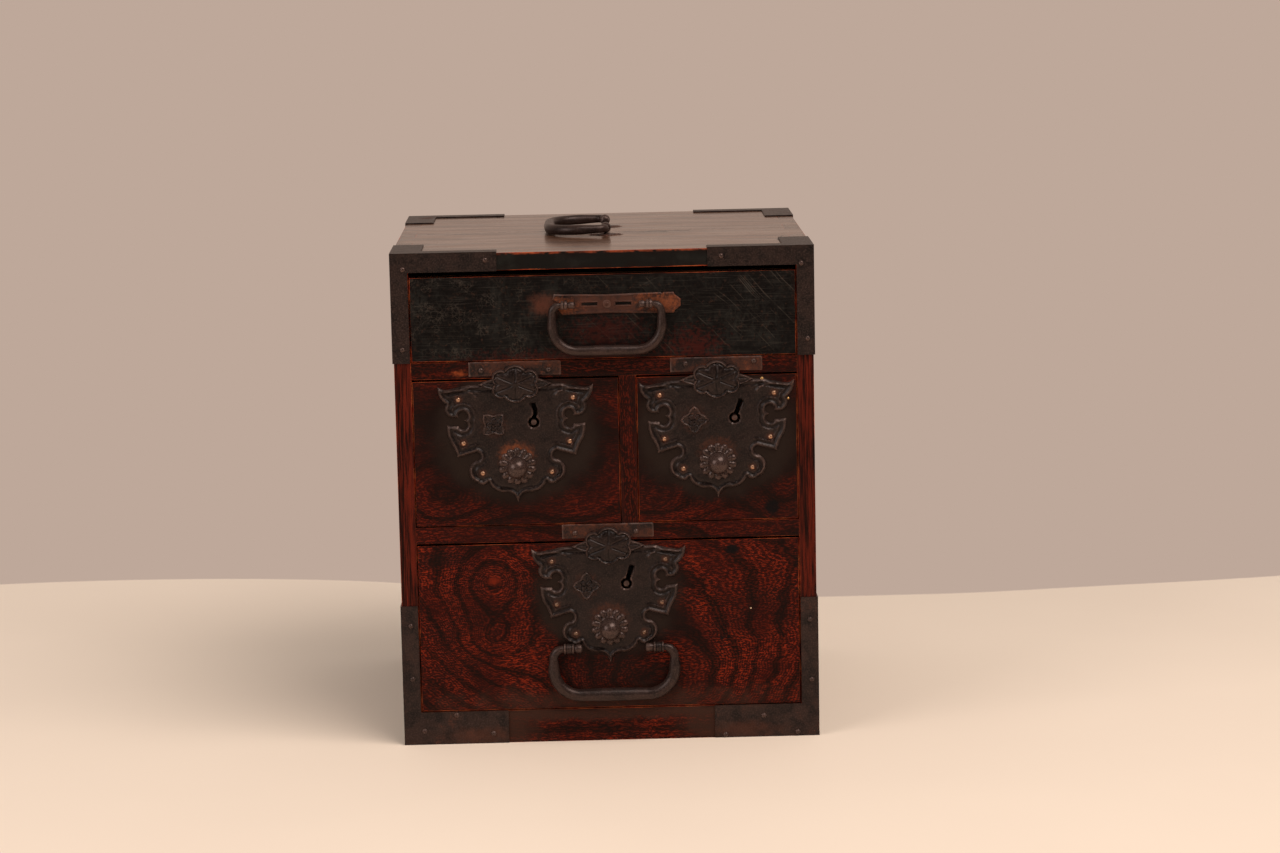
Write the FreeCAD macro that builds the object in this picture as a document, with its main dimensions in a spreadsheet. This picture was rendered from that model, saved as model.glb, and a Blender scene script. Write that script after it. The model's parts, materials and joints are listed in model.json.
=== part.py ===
import FreeCAD, Part
import math
import os
import re

# A small tansu chest: a box-jointed keyaki case with one wide drawer above, two drawers side by side and
# one wide drawer below, all with wrought-iron fittings.
#
# Millimetres. The front faces -Y, +X is to the right, +Z is up. The origin is the centre of the underside
# of the case. Every length below is an expression in the names of the sheet.

Vector = FreeCAD.Vector
Rotation = FreeCAD.Rotation

SIZES = (
    ("case_width", 300, "outer width of the case"),
    ("case_depth", 280, "outer depth of the case"),
    ("case_height", 358, "outer height of the case"),
    ("side_thickness", 12, "left and right boards"),
    ("top_thickness", 12.5, "top board"),
    ("bottom_thickness", 12, "bottom board"),
    ("finger_count", 7, "fingers along each corner joint, an odd number"),
    ("housing_depth", 4, "how far rails and shelves are let into the case"),
    ("tenon_shoulder", 2, "rail wood left above and below a stub tenon"),
    ("back_thickness", 8, "back planks"),
    ("back_rebate", 6, "how far the back planks are let into the case boards"),
    ("base_rail_height", 24, "front rail under the bottom drawer"),
    ("base_rail_thickness", 12, "front rail under the bottom drawer"),
    ("runner_width", 18, "strips that carry the bottom drawer"),
    ("rail_height", 12, "front rails between the drawers"),
    ("rail_depth", 30, "front rails between the drawers, front to back"),
    ("shelf_thickness", 8, "boards behind the rails"),
    ("divider_thickness", 12, "post between the middle drawers"),
    ("divider_centre", 16.2, "how far the post stands right of the middle"),
    ("partition_thickness", 8, "board behind the post"),
    ("top_opening", 65.5, "clear height for the top drawer"),
    ("middle_opening", 107.5, "clear height for the middle drawers"),

    ("drawer_side_gap", 0.7, "play at each side of a drawer"),
    ("drawer_top_gap", 1.6, "play above the middle and bottom drawers"),
    ("top_drawer_top_gap", 4.4, "play above the shrunken top drawer"),
    ("front_foot_gap", 0.8, "play under a drawer front"),
    ("drawer_floor_gap", 0.3, "running clearance under a drawer"),
    ("drawer_back_gap", 3, "space behind a drawer"),
    ("front_thickness", 14, "drawer front"),
    ("drawer_wall", 7, "drawer sides and back"),
    ("drawer_bottom", 5, "drawer bottom"),
    ("drawer_lap", 8, "how far the drawer sides are let into the front"),
    ("drawer_side_drop", 3, "drawer sides stand this much below the front"),
    ("drawer_fingers", 5, "fingers at the back corners of a drawer, an odd number"),

    ("iron", 1, "sheet of the corner irons"),
    ("iron_arm", 75, "corner iron along the front, from the case side"),
    ("iron_depth_arm", 58, "corner iron along the side, from the case front"),
    ("top_iron_band", 13, "height of the top corner irons"),
    ("top_iron_drop", 78, "length of the top corner irons down the case"),
    ("top_iron_cap", 21, "width of the top corner irons over the top board"),
    ("foot_iron_rise", 103, "length of the bottom corner irons up the case"),
    ("iron_leg", 11.5, "width of the upright arms"),
    ("strike_length", 66, "strike plate over each lock"),
    ("strike_height", 10.5, "strike plate over each lock"),
    ("strike_sheet", 0.9, "strike plate thickness"),

    ("lock_sheet", 1.2, "lock plate thickness"),
    ("lock_width", 111, "lock plate"),
    ("lock_drop", 88.6, "lock plate, from the drawer's top edge to its tip"),
    ("key_across", 12.6, "keyhole, right of the lock plate's middle"),
    ("key_down", 30.8, "keyhole, below the drawer's top edge"),
    ("key_bore", 7.9, "round part of the keyhole"),
    ("key_slot", 3.2, "width of the keyhole's slot"),
    ("key_reach", 14, "middle of the round part to the end of the slot"),
    ("key_pin", 4, "guide pin inside the keyhole"),
    ("key_clearance", 0.4, "wood cut back round the keyhole"),
    ("boss_width", 33, "flower boss"),
    ("boss_height", 27, "flower boss"),
    ("boss_span", 52.6, "flower boss over its two leaves"),
    ("boss_leaf", 8.4, "width of the boss's leaves"),
    ("boss_crown", 3.4, "flower boss, thickness in the middle"),
    ("boss_edge", 1.6, "flower boss, thickness at the rim"),
    ("boss_down", 2.6, "middle of the boss below the drawer's top edge"),
    ("crest_across", 16.2, "crest, left of the lock plate's middle"),
    ("crest_down", 31.7, "crest, below the drawer's top edge"),
    ("crest_size", 14.6, "crest, flat to flat"),
    ("crest_bulge", 0.45, "how far each half of a crest's side bulges"),
    ("crest_notch", 0.75, "depth of the notch in each side of a crest"),
    ("crest_sheet", 1.4, "crest thickness"),
    ("crest_gap", 0.1, "crest clear of the lock plate"),
    ("crest_pin", 3, "pivot of the crest"),
    ("crest_pin_depth", 6, "pivot of the crest, into the drawer front"),
    ("pivot_clearance", 0.06, "radial play of a pin in iron"),
    ("knob_down", 62.2, "knob, below the drawer's top edge"),
    ("knob_ball", 15.5, "knob"),
    ("knob_stem", 0.5, "bare neck between the rosette and the ball"),
    ("knob_neck", 7, "knob behind the ball"),
    ("knob_shank", 5, "knob shank through the drawer front"),
    ("rosette_width", 27, "rosette over its beads"),
    ("rosette_cusp", 23.8, "rosette between its beads"),
    ("rosette_hub", 20, "raised middle of the rosette"),
    ("rosette_count", 14, "beads of the rosette"),
    ("rosette_sheet", 1.6, "rosette thickness at the beads"),
    ("rosette_crown", 3, "rosette thickness at the neck"),

    ("case_left_reach", 20, "lock case, left of the lock plate's middle"),
    ("case_right_reach", 26, "lock case, right of the lock plate's middle"),
    ("case_top_down", 2.4, "lock case, below the drawer's top edge"),
    ("case_drop", 42, "height of the lock case"),
    ("lock_case_depth", 11, "lock case, front to back"),
    ("case_sheet", 1.2, "lock case wall"),
    ("bolt_width", 10, "lock bolt"),
    ("bolt_thickness", 3, "lock bolt"),
    ("bolt_length", 36, "lock bolt"),
    ("bolt_across", 0, "lock bolt, right of the lock plate's middle"),
    ("bolt_gap", 0.2, "play round the bolt"),
    ("bolt_throw", 7, "how far the bolt rises"),
    ("bolt_notch", 4, "notch that the key bit lifts"),
    ("mortise_clearance", 1, "play round the bolt in the rail"),

    ("handle_offset", 2.5, "drawer handles, right of the middle"),
    ("handle_stand", 5.5, "handle axis from the face it hangs on"),
    ("eye_shank", 3, "shank of an eye through the wood"),
    ("clinch_length", 9, "end of an eye, bent over behind the wood"),
    ("clinch_sheet", 1.2, "end of an eye, bent over behind the wood"),
    ("eye_play", 0.4, "play of a bail along its eye"),

    ("top_handle_down", 21.2, "top handle axis below the drawer's top edge"),
    ("top_handle_width", 85, "top handle, outside"),
    ("top_handle_drop", 33, "top handle, axis to the middle of the bar"),
    ("top_handle_eyes", 60.6, "top handle, eye to eye"),
    ("top_handle_eye", 6.4, "top handle, eye across"),
    ("top_handle_eye_width", 4.8, "top handle, eye along the axis"),
    ("top_handle_journal", 3.8, "top handle in its eye"),
    ("top_handle_ball", 5.2, "top handle's end balls"),
    ("top_handle_neck", 5.4, "top handle beside its eyes"),
    ("top_handle_leg", 6.8, "top handle at its corners"),
    ("top_handle_bar", 7.8, "top handle in the middle of the bar"),
    ("top_handle_corner", 15, "top handle's corners"),

    ("bottom_handle_down", 77.1, "bottom handle axis below the drawer's top edge"),
    ("bottom_handle_width", 96, "bottom handle, outside"),
    ("bottom_handle_drop", 34.5, "bottom handle, axis to the middle of the bar"),
    ("bottom_handle_eyes", 65, "bottom handle, eye to eye"),
    ("bottom_handle_eye", 7.6, "bottom handle, eye across"),
    ("bottom_handle_eye_width", 7, "bottom handle, eye along the axis"),
    ("bottom_handle_journal", 4.8, "bottom handle in its eye"),
    ("bottom_handle_ball", 6.2, "bottom handle's end balls"),
    ("bottom_handle_neck", 6.4, "bottom handle beside its eyes"),
    ("bottom_handle_leg", 8.4, "bottom handle at its corners"),
    ("bottom_handle_bar", 9.8, "bottom handle in the middle of the bar"),
    ("bottom_handle_corner", 16, "bottom handle's corners"),

    ("carry_handle_across", 4, "carry handle axis, right of the middle"),
    ("carry_handle_width", 86, "carry handle, outside"),
    ("carry_handle_drop", 42, "carry handle, axis to the middle of the bar"),
    ("carry_handle_eyes", 60, "carry handle, eye to eye"),
    ("carry_handle_eye", 7.6, "carry handle, eye across"),
    ("carry_handle_eye_width", 5, "carry handle, eye along the axis"),
    ("carry_handle_journal", 4.6, "carry handle in its eye"),
    ("carry_handle_ball", 6.4, "carry handle's end balls"),
    ("carry_handle_neck", 6, "carry handle beside its eyes"),
    ("carry_handle_leg", 7.4, "carry handle at its corners"),
    ("carry_handle_bar", 8.4, "carry handle in the middle of the bar"),
    ("carry_handle_corner", 19, "carry handle's corners"),
    ("carry_handle_tilt", 1.4, "degrees by which the carry handle lies below level"),
    ("washer_width", 26, "washer plate under each eye of the carry handle"),
    ("washer_hollow", 4.7, "middle of each hollow side of a washer, from its centre along X and Y"),
    ("washer_sheet", 0.9, "washer plate thickness"),

    ("handle_plate_height", 15, "backplate of the top handle"),
    ("handle_plate_waist", 13.4, "backplate of the top handle between the eyes"),
    ("handle_plate_right", 53, "backplate, from its middle to its whole end"),
    ("handle_plate_left", 38.5, "backplate, from its middle to its broken end"),
    ("handle_plate_lobe", 14, "length of the lobe at the backplate's whole end"),
    ("handle_plate_corner", 5, "cut corners of the backplate's whole end"),
    ("handle_plate_nick", 0.9, "nicks between the lobes of the backplate"),
    ("handle_plate_sheet", 0.9, "backplate thickness"),
    ("handle_plate_slot_start", 6.6, "start of each slot, from the backplate's middle"),
    ("handle_plate_slot", 11, "length of each slot in the backplate"),
    ("handle_plate_slot_height", 1.9, "height of each slot in the backplate"),
)

doc = FreeCAD.newDocument("SmallTansuChest")
sheet = doc.addObject("Spreadsheet::Sheet", "Sizes")
for row, (alias, amount, meaning) in enumerate(SIZES, start=1):
    sheet.set(f"A{row}", meaning)
    sheet.set(f"B{row}", str(amount))
    sheet.setAlias(f"B{row}", alias)
doc.recompute()
ALIASES = {alias for alias, _, _ in SIZES}


# ---- expressions ------------------------------------------------------------------------------------------

def from_sheet(text):
    """The expression with each size's name led by the sheet's name."""
    return re.sub(r"[a-z_]+", lambda word: f"Sizes.{word[0]}" if word[0] in ALIASES else word[0], str(text))


def number(text):
    """What an expression comes to now."""
    return float(sheet.evalExpression(from_sheet(text)))


def bind(piece, prop, text):
    piece.setExpression(prop, from_sheet(text))


def place(piece, x, y, z, turn=None):
    """Move a piece to a bound place, turned about its own origin."""
    piece.Placement.Rotation = turn or Rotation()
    for axis, text in zip("xyz", (x, y, z)):
        bind(piece, f"Placement.Base.{axis}", text)
    return piece


# ---- primitives and booleans -----------------------------------------------------------------------------

def block(x, y, z):
    """A block between two planes each way."""
    piece = doc.addObject("Part::Box", "block")
    for side, (low, high) in zip(("Length", "Width", "Height"), (x, y, z)):
        bind(piece, side, f"({high}) - ({low})")
    return place(piece, x[0], y[0], z[0])


ALONG = {"x": Rotation(Vector(0, 0, 1), Vector(1, 0, 0)),
         "y": Rotation(Vector(0, 0, 1), Vector(0, 1, 0)),
         "z": Rotation()}


def rod(axis, start, length, width, end_width=None):
    """A round rod from a start point along an axis, tapering if its end width differs."""
    if end_width is None:
        piece = doc.addObject("Part::Cylinder", "rod")
        bind(piece, "Radius", f"({width})/2")
    else:
        piece = doc.addObject("Part::Cone", "taper")
        bind(piece, "Radius1", f"({width})/2")
        bind(piece, "Radius2", f"({end_width})/2")
    bind(piece, "Height", length)
    return place(piece, *start, turn=ALONG[axis])


BAR_SIDES = 8
ACROSS_CORNERS = 1 / math.cos(math.pi / BAR_SIDES)


def section(width, centre, normal):
    """An eight-sided outline, as wide across its flats as given, square to an axis."""
    outline = doc.addObject("Part::RegularPolygon", "section")
    outline.Polygon = BAR_SIDES
    bind(outline, "Circumradius", f"({width})/2*{ACROSS_CORNERS:.6f}")
    half_flat = Rotation(Vector(0, 0, 1), 180 / BAR_SIDES)
    return place(outline, *centre, turn=ALONG[normal].multiply(half_flat))


def forged_run(normal, start, end, width, end_width):
    """An eight-sided bar between two points on a line along an axis."""
    run = doc.addObject("Part::Loft", "run")
    run.Sections = [section(width, start, normal), section(end_width, end, normal)]
    run.Solid = True
    run.Ruled = True
    return run


def forged_bend(centre, radius, width, first_degree):
    """A quarter bend of an eight-sided bar in the XZ plane; it starts first_degree round from +X."""
    turn = doc.addObject("Part::Revolution", "bend")
    turn.Source = section(width, (radius, "0", "0"), "z")
    turn.Base = Vector(0, 0, 0)
    turn.Axis = Vector(0, 1, 0)
    turn.Angle = -90
    turn.Solid = True
    return place(turn, *centre, turn=Rotation(Vector(0, 1, 0), -first_degree))


def join(*pieces):
    if len(pieces) == 1:
        return pieces[0]
    whole = doc.addObject("Part::MultiFuse", "join")
    whole.Shapes = list(pieces)
    whole.Refine = True
    return whole


def carve(base, *tools):
    if not tools:
        return base
    rest = doc.addObject("Part::Cut", "carved")
    rest.Base = base
    rest.Tool = join(*tools)
    rest.Refine = True
    return rest


NODES = []


def node(label, *pieces):
    """Name one sub-part. Several pieces stay separate solids of one node."""
    if len(pieces) == 1:
        whole = pieces[0]
    else:
        whole = doc.addObject("Part::Compound", "group")
        whole.Links = list(pieces)
    whole.Label = label
    NODES.append(whole)
    return whole


# ---- sketched sheet pieces -------------------------------------------------------------------------------

def trace(start, *steps):
    """Edges from a start point: a step of two numbers is a line, of four an arc by its middle and end."""
    edges = []
    here = Vector(*start, 0)
    for step in steps:
        there = Vector(*step[-2:], 0)
        if len(step) == 2:
            edges.append(Part.LineSegment(here, there))
        else:
            edges.append(Part.Arc(here, Vector(*step[:2], 0), there))
        here = there
    return edges


def mirrored(start, steps):
    """A right half traced from top to bottom, and its mirror image traced back up."""
    corners = [start] + [step[-2:] for step in steps]
    back = []
    for step, before in zip(reversed(steps), reversed(corners[:-1])):
        middle = [(-step[0], step[1])] if len(step) == 4 else []
        point = (-before[0], before[1])
        back.append(tuple(middle[0]) + point if middle else point)
    return trace(start, *steps, *back)


def sketch_on(body, role, edges, name):
    sketch = body.newObject("Sketcher::SketchObject", name)
    plane = next(feature for feature in body.Origin.OriginFeatures if feature.Role == role)
    sketch.AttachmentSupport = (plane, "")
    sketch.MapMode = "FlatFace"
    sketch.addGeometry(edges, False)
    return sketch


def sheet_piece(edges, thickness, openings=()):
    """A flat piece in the XZ plane, its thickness towards -Y, with openings through it."""
    body = doc.addObject("PartDesign::Body", "sheet_piece")
    pad = body.newObject("PartDesign::Pad", "pad")
    pad.Profile = sketch_on(body, "XZ_Plane", edges, "outline")
    bind(pad, "Length", thickness)
    doc.recompute()
    for opening in openings:
        before = body.Shape.Volume
        pocket = body.newObject("PartDesign::Pocket", "pocket")
        pocket.Profile = sketch_on(body, "XZ_Plane", opening, "opening")
        pocket.Type = "ThroughAll"
        pocket.Reversed = True
        doc.recompute()
        if body.Shape.Volume >= before:
            raise RuntimeError("an opening cut nothing")
    return body


def rectangle(x, z):
    """A closed outline between two values each way."""
    return trace((x[0], z[0]), (x[1], z[0]), (x[1], z[1]), (x[0], z[1]), (x[0], z[0]))


def circle(x, z, width):
    return [Part.Circle(Vector(x, z, 0), Vector(0, 0, 1), width / 2)]


# ---- planes of the case ----------------------------------------------------------------------------------

FRONT = "-case_depth/2"
BACK = "case_depth/2"
INNER = "(case_width/2 - side_thickness)"
CEILING = "(case_height - top_thickness)"
UPPER_SHELF = f"({CEILING} - top_opening)"
UPPER_RAIL_FOOT = f"({UPPER_SHELF} - rail_height)"
LOWER_SHELF = f"({UPPER_RAIL_FOOT} - middle_opening)"
LOWER_RAIL_FOOT = f"({LOWER_SHELF} - rail_height)"
RAIL_BACK = f"({FRONT} + rail_depth)"
PLANK_FRONT = f"({BACK} - back_thickness)"
DIVIDER_LEFT = "(divider_centre - divider_thickness/2)"
DIVIDER_RIGHT = "(divider_centre + divider_thickness/2)"

# Each drawer: left, right, floor and ceiling of its opening, and the play above it.
DRAWERS = {
    "top": (f"-{INNER}", INNER, UPPER_SHELF, CEILING, "top_drawer_top_gap"),
    "left": (f"-{INNER}", DIVIDER_LEFT, LOWER_SHELF, UPPER_RAIL_FOOT, "drawer_top_gap"),
    "right": (DIVIDER_RIGHT, INNER, LOWER_SHELF, UPPER_RAIL_FOOT, "drawer_top_gap"),
    "bottom": (f"-{INNER}", INNER, "base_rail_height", LOWER_RAIL_FOOT, "drawer_top_gap"),
}


def middle_of(drawer):
    left, right = DRAWERS[drawer][:2]
    return f"(({left}) + ({right}))/2"


def top_edge_of(drawer):
    ceiling, play = DRAWERS[drawer][3:]
    return f"({ceiling} - {play})"


# Each lock: the lean of its keyhole in degrees, clockwise, and the turn of its crest.
LOCKS = {"left": (3, 0), "right": (20, 45), "bottom": (17.5, 45)}


# ---- case -------------------------------------------------------------------------------------------------

def sided(side, near, far):
    """A span along X between two distances from the middle plane; side is -1 left or 1 right."""
    return (near, far) if side > 0 else (f"-({far})", f"-({near})")


def fingers(x, z, odd):
    """Blocks over every other finger of a corner joint that runs from front to back."""
    pitch = "case_depth/finger_count"
    first = 1 if odd else 0
    return [block(x, (f"{FRONT} + {n}*{pitch}", f"{FRONT} + {n + 1}*{pitch}"), z)
            for n in range(first, int(number("finger_count")), 2)]


def plank_recess():
    """The room for the back planks, let into every board round them."""
    return block(("-case_width/2 + back_rebate", "case_width/2 - back_rebate"), (PLANK_FRONT, BACK),
                 ("bottom_thickness - back_rebate", f"{CEILING} + back_rebate"))


def tenon(side):
    """The span along X of a stub tenon that is let into a side board."""
    return sided(side, INNER, f"{INNER} + housing_depth")


def rail_tenons(top, side):
    return block(tenon(side), (f"{FRONT} + tenon_shoulder", f"{RAIL_BACK} - tenon_shoulder"),
                 (f"{top} - rail_height + tenon_shoulder", f"{top} - tenon_shoulder"))


def shelf_housing(top, side):
    return block(tenon(side), (RAIL_BACK, PLANK_FRONT), (f"{top} - shelf_thickness", top))


def side_board(side):
    width = sided(side, INNER, "case_width/2")
    board = block(width, (FRONT, BACK), ("0", "case_height"))
    lets = [plank_recess()]
    lets += fingers(width, (CEILING, "case_height"), odd=False)
    lets += fingers(width, ("0", "bottom_thickness"), odd=True)
    for top in (UPPER_SHELF, LOWER_SHELF):
        lets += [rail_tenons(top, side), shelf_housing(top, side)]
    return carve(board, *lets)


node("left_side", side_board(-1))
node("right_side", side_board(1))


def eye_slots(axis_x, axis_y, spacing, depth, wide):
    """Slots down through a board for the two eyes of the carry handle."""
    return [block((f"{axis_x} - eye_shank/2", f"{axis_x} + eye_shank/2"),
                  (f"{axis_y} + {side}*{spacing}/2 - {wide}/2", f"{axis_y} + {side}*{spacing}/2 + {wide}/2"),
                  depth) for side in (-1, 1)]


def top_board():
    full = ("-case_width/2", "case_width/2")
    board = block(full, (FRONT, BACK), (CEILING, "case_height"))
    notches = []
    for side in (-1, 1):
        notches += fingers(sided(side, INNER, "case_width/2"), (CEILING, "case_height"), odd=True)
    slots = eye_slots("carry_handle_across", "0", "carry_handle_eyes", (CEILING, "case_height"),
                      "carry_handle_eye_width")
    return carve(board, plank_recess(), *notches, *slots)


def bottom_board():
    board = block((f"-{INNER}", INNER), (f"{FRONT} + base_rail_thickness", BACK), ("0", "bottom_thickness"))
    tabs = []
    for side in (-1, 1):
        tabs += fingers(sided(side, INNER, "case_width/2"), ("0", "bottom_thickness"), odd=True)
    return carve(join(board, *tabs), plank_recess())


node("top_board", top_board())
node("bottom_board", bottom_board())


def back_plank(low, high):
    return block(("-case_width/2 + back_rebate", "case_width/2 - back_rebate"), (PLANK_FRONT, BACK),
                 (low, high))


PLANK_SEAM = "(case_height/2)"
node("back_planks",
     back_plank("bottom_thickness - back_rebate", PLANK_SEAM),
     back_plank(PLANK_SEAM, f"{CEILING} + back_rebate"))

node("base_rail", block((f"-{INNER}", INNER), (FRONT, f"{FRONT} + base_rail_thickness"),
                        ("0", "base_rail_height")))


def runner(side):
    return block(sided(side, f"{INNER} - runner_width", INNER),
                 (f"{FRONT} + base_rail_thickness", PLANK_FRONT), ("bottom_thickness", "base_rail_height"))


node("bottom_runners", runner(-1), runner(1))


def bolt_mortise(lock, ceiling):
    """The blind hole in a rail's underside that the lock bolt rises into."""
    middle = f"{middle_of(lock)} + bolt_across"
    half = "(bolt_width/2 + mortise_clearance)"
    depth = f"({FRONT} + front_thickness + lock_case_depth/2)"
    half_depth = "(bolt_thickness/2 + mortise_clearance)"
    rise = f"({top_edge_of(lock)} - case_top_down + bolt_throw + mortise_clearance)"
    return block((f"{middle} - {half}", f"{middle} + {half}"),
                 (f"{depth} - {half_depth}", f"{depth} + {half_depth}"), (ceiling, rise))


def post_tenon(low, high):
    return block((f"{DIVIDER_LEFT} + tenon_shoulder", f"{DIVIDER_RIGHT} - tenon_shoulder"),
                 (f"{FRONT} + tenon_shoulder", f"{RAIL_BACK} - tenon_shoulder"), (low, high))


def rail(top, mortises, post):
    """A front rail with stub tenons, the locks' mortises and the divider's mortise."""
    body = block((f"-{INNER}", INNER), (FRONT, RAIL_BACK), (f"{top} - rail_height", top))
    return carve(join(body, rail_tenons(top, -1), rail_tenons(top, 1)), post, *mortises)


node("upper_rail", rail(UPPER_SHELF,
                        [bolt_mortise("left", UPPER_RAIL_FOOT), bolt_mortise("right", UPPER_RAIL_FOOT)],
                        post_tenon(UPPER_RAIL_FOOT, f"{UPPER_RAIL_FOOT} + housing_depth")))
node("lower_rail", rail(LOWER_SHELF, [bolt_mortise("bottom", LOWER_RAIL_FOOT)],
                        post_tenon(f"{LOWER_SHELF} - housing_depth", LOWER_SHELF)))


def shelf(top):
    body = block((f"-{INNER}", INNER), (RAIL_BACK, PLANK_FRONT), (f"{top} - shelf_thickness", top))
    return join(body, shelf_housing(top, -1), shelf_housing(top, 1))


node("upper_shelf", shelf(UPPER_SHELF))
node("lower_shelf", shelf(LOWER_SHELF))

post = block((DIVIDER_LEFT, DIVIDER_RIGHT), (FRONT, RAIL_BACK), (LOWER_SHELF, UPPER_RAIL_FOOT))
node("divider_post", join(post, post_tenon(f"{LOWER_SHELF} - housing_depth", LOWER_SHELF),
                          post_tenon(UPPER_RAIL_FOOT, f"{UPPER_RAIL_FOOT} + housing_depth")))
node("partition", block(("divider_centre - partition_thickness/2", "divider_centre + partition_thickness/2"),
                        (RAIL_BACK, PLANK_FRONT), (LOWER_SHELF, f"{UPPER_SHELF} - shelf_thickness")))


# ---- corner irons and strike plates ----------------------------------------------------------------------

def reach(side, edge, inwards, outwards="iron"):
    """The span from an outer face of the case: outwards past it and inwards from it."""
    if side > 0:
        return (f"{edge} - ({inwards})", f"{edge} + ({outwards})")
    return (f"-({edge}) - ({outwards})", f"-({edge}) + ({inwards})")


def corner_iron(side, end, top):
    """One bent iron: side is -1 left or 1 right, end is -1 front or 1 back."""
    wide, deep = "case_width/2", "case_depth/2"
    face_y = reach(end, deep, "0")
    face_x = reach(side, wide, "0")
    if top:
        upright = ("case_height - top_iron_drop", "case_height + iron")
        band = ("case_height - top_iron_band", "case_height + iron")
    else:
        upright = ("0", "foot_iron_rise")
        band = ("0", "base_rail_height")
    arms = [block(reach(side, wide, "iron_arm"), face_y, band),
            block(reach(side, wide, "iron_leg"), face_y, upright),
            block(face_x, reach(end, deep, "iron_depth_arm"), band),
            block(face_x, reach(end, deep, "iron_leg"), upright)]
    if top:
        lid = ("case_height", "case_height + iron")
        arms += [block(reach(side, wide, "iron_arm"), reach(end, deep, "top_iron_band"), lid),
                 block(reach(side, wide, "top_iron_cap"), reach(end, deep, "iron_depth_arm"), lid)]
    return join(*arms)


node("front_top_irons", corner_iron(-1, -1, True), corner_iron(1, -1, True))
node("front_bottom_irons", corner_iron(-1, -1, False), corner_iron(1, -1, False))
node("back_irons", *[corner_iron(side, 1, top) for top in (True, False) for side in (-1, 1)])


def strike_plate(lock, rail_top):
    middle = middle_of(lock)
    return block((f"{middle} - strike_length/2", f"{middle} + strike_length/2"),
                 (f"{FRONT} - strike_sheet", FRONT), (f"{rail_top} - strike_height", rail_top))


node("strike_plates", strike_plate("left", UPPER_SHELF), strike_plate("right", UPPER_SHELF),
     strike_plate("bottom", LOWER_SHELF))


# ---- handles ----------------------------------------------------------------------------------------------
# Each bail is made with its axis along X through the origin and hangs towards -Z. The face it hangs on is
# at y = 0, so its axis lies at y = -handle_stand.

def bail(name):
    """A forged bail: journals with end balls, elbows, tapering legs, corners and a swelling bar."""
    def own(word):
        return f"{name}_{word}"

    leg_x = f"({own('width')}/2 - {own('leg')}/2)"
    bar_z = f"(-{own('drop')})"
    axis_y = "-handle_stand"
    eye_x = f"({own('eyes')}/2)"
    ball_x = f"({eye_x} - {own('eye_width')}/2 - {own('ball')}/2)"
    elbow_x = f"({eye_x} + {own('eye_width')}/2 + eye_play)"
    elbow = f"({leg_x} - {elbow_x})"
    pieces = []
    for side in (-1, 1):
        inner_end = f"({ball_x} - {own('ball')}/2)"
        start = inner_end if side > 0 else f"-{elbow_x}"
        pieces.append(rod("x", (start, axis_y, "0"), f"{elbow_x} - {inner_end}", own("journal")))
        button = inner_end if side > 0 else f"-{ball_x} - {own('ball')}/2"
        pieces.append(rod("x", (button, axis_y, "0"), f"{own('ball')} - eye_play", own("ball")))
        pieces.append(forged_bend((f"{side}*{elbow_x}", axis_y, f"-{elbow}"), elbow, own("neck"),
                                  0 if side > 0 else 90))
        pieces.append(forged_run("z", (f"{side}*{leg_x}", axis_y, f"-{elbow}"),
                                 (f"{side}*{leg_x}", axis_y, f"{bar_z} + {own('corner')}"),
                                 own("neck"), own("leg")))
        corner_x = f"({leg_x} - {own('corner')})"
        pieces.append(forged_bend((f"{side}*{corner_x}", axis_y, f"{bar_z} + {own('corner')}"),
                                  own("corner"), own("leg"), 270 if side > 0 else 180))
        pieces.append(forged_run("x", (f"{side}*{corner_x}", axis_y, bar_z), ("0", axis_y, bar_z),
                                 own("leg"), own("bar")))
    return join(*pieces)


def eye(name, side, board):
    """One eye: a ring round the journal, a shank through a board and two ends bent over behind it."""
    wide = f"{name}_eye_width"
    middle = f"({side}*{name}_eyes/2)"
    across = (f"{middle} - {wide}/2", f"{middle} + {wide}/2")
    start = (across[0], "-handle_stand", "0")
    ring = rod("x", start, wide, f"{name}_eye")
    bore = rod("x", start, wide, f"{name}_journal + 2*pivot_clearance")
    shank = block(across, ("-handle_stand", board), ("-eye_shank/2", "eye_shank/2"))
    ends = block(across, (board, f"{board} + clinch_sheet"), ("-clinch_length", "clinch_length"))
    return carve(join(ring, shank, ends), bore)


TOP_HANDLE_AT = ("handle_offset", FRONT, f"{top_edge_of('top')} - top_handle_down")
BOTTOM_HANDLE_AT = ("handle_offset", FRONT, f"{top_edge_of('bottom')} - bottom_handle_down")
CARRY_HANDLE_AT = ("carry_handle_across", "0", "case_height")
# On the top board a handle's axis runs front to back and it lies towards -X.
LYING = Rotation(Vector(0, -1, 0), Vector(0, 0, -1), Vector(1, 0, 0), "XYZ")

node("top_drawer_handle", place(bail("top_handle"), *TOP_HANDLE_AT))
node("top_drawer_handle_eyes",
     *[place(eye("top_handle", side, "front_thickness"), *TOP_HANDLE_AT) for side in (-1, 1)])
node("bottom_drawer_handle", place(bail("bottom_handle"), *BOTTOM_HANDLE_AT))
node("bottom_drawer_handle_eyes",
     *[place(eye("bottom_handle", side, "front_thickness"), *BOTTOM_HANDLE_AT) for side in (-1, 1)])
node("carry_handle_eyes",
     *[place(eye("carry_handle", side, "top_thickness"), *CARRY_HANDLE_AT, turn=LYING) for side in (-1, 1)])


def tilted_carry_handle():
    """The carry handle, turned about its own axis until its bar all but lies on the top board."""
    piece = bail("carry_handle")
    tilt = Rotation(Vector(1, 0, 0), number("carry_handle_tilt"))
    turn = LYING.multiply(tilt)
    # The turn is about the face's origin, so the axis is brought back to where it was.
    stand = number("handle_stand")
    shift = LYING.multVec(Vector(0, -stand, 0)) - turn.multVec(Vector(0, -stand, 0))
    return place(piece, f"carry_handle_across + {shift.x:.9f}", f"{shift.y:.9f}",
                 f"case_height + {shift.z:.9f}", turn=turn)


node("carry_handle", tilted_carry_handle())


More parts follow.
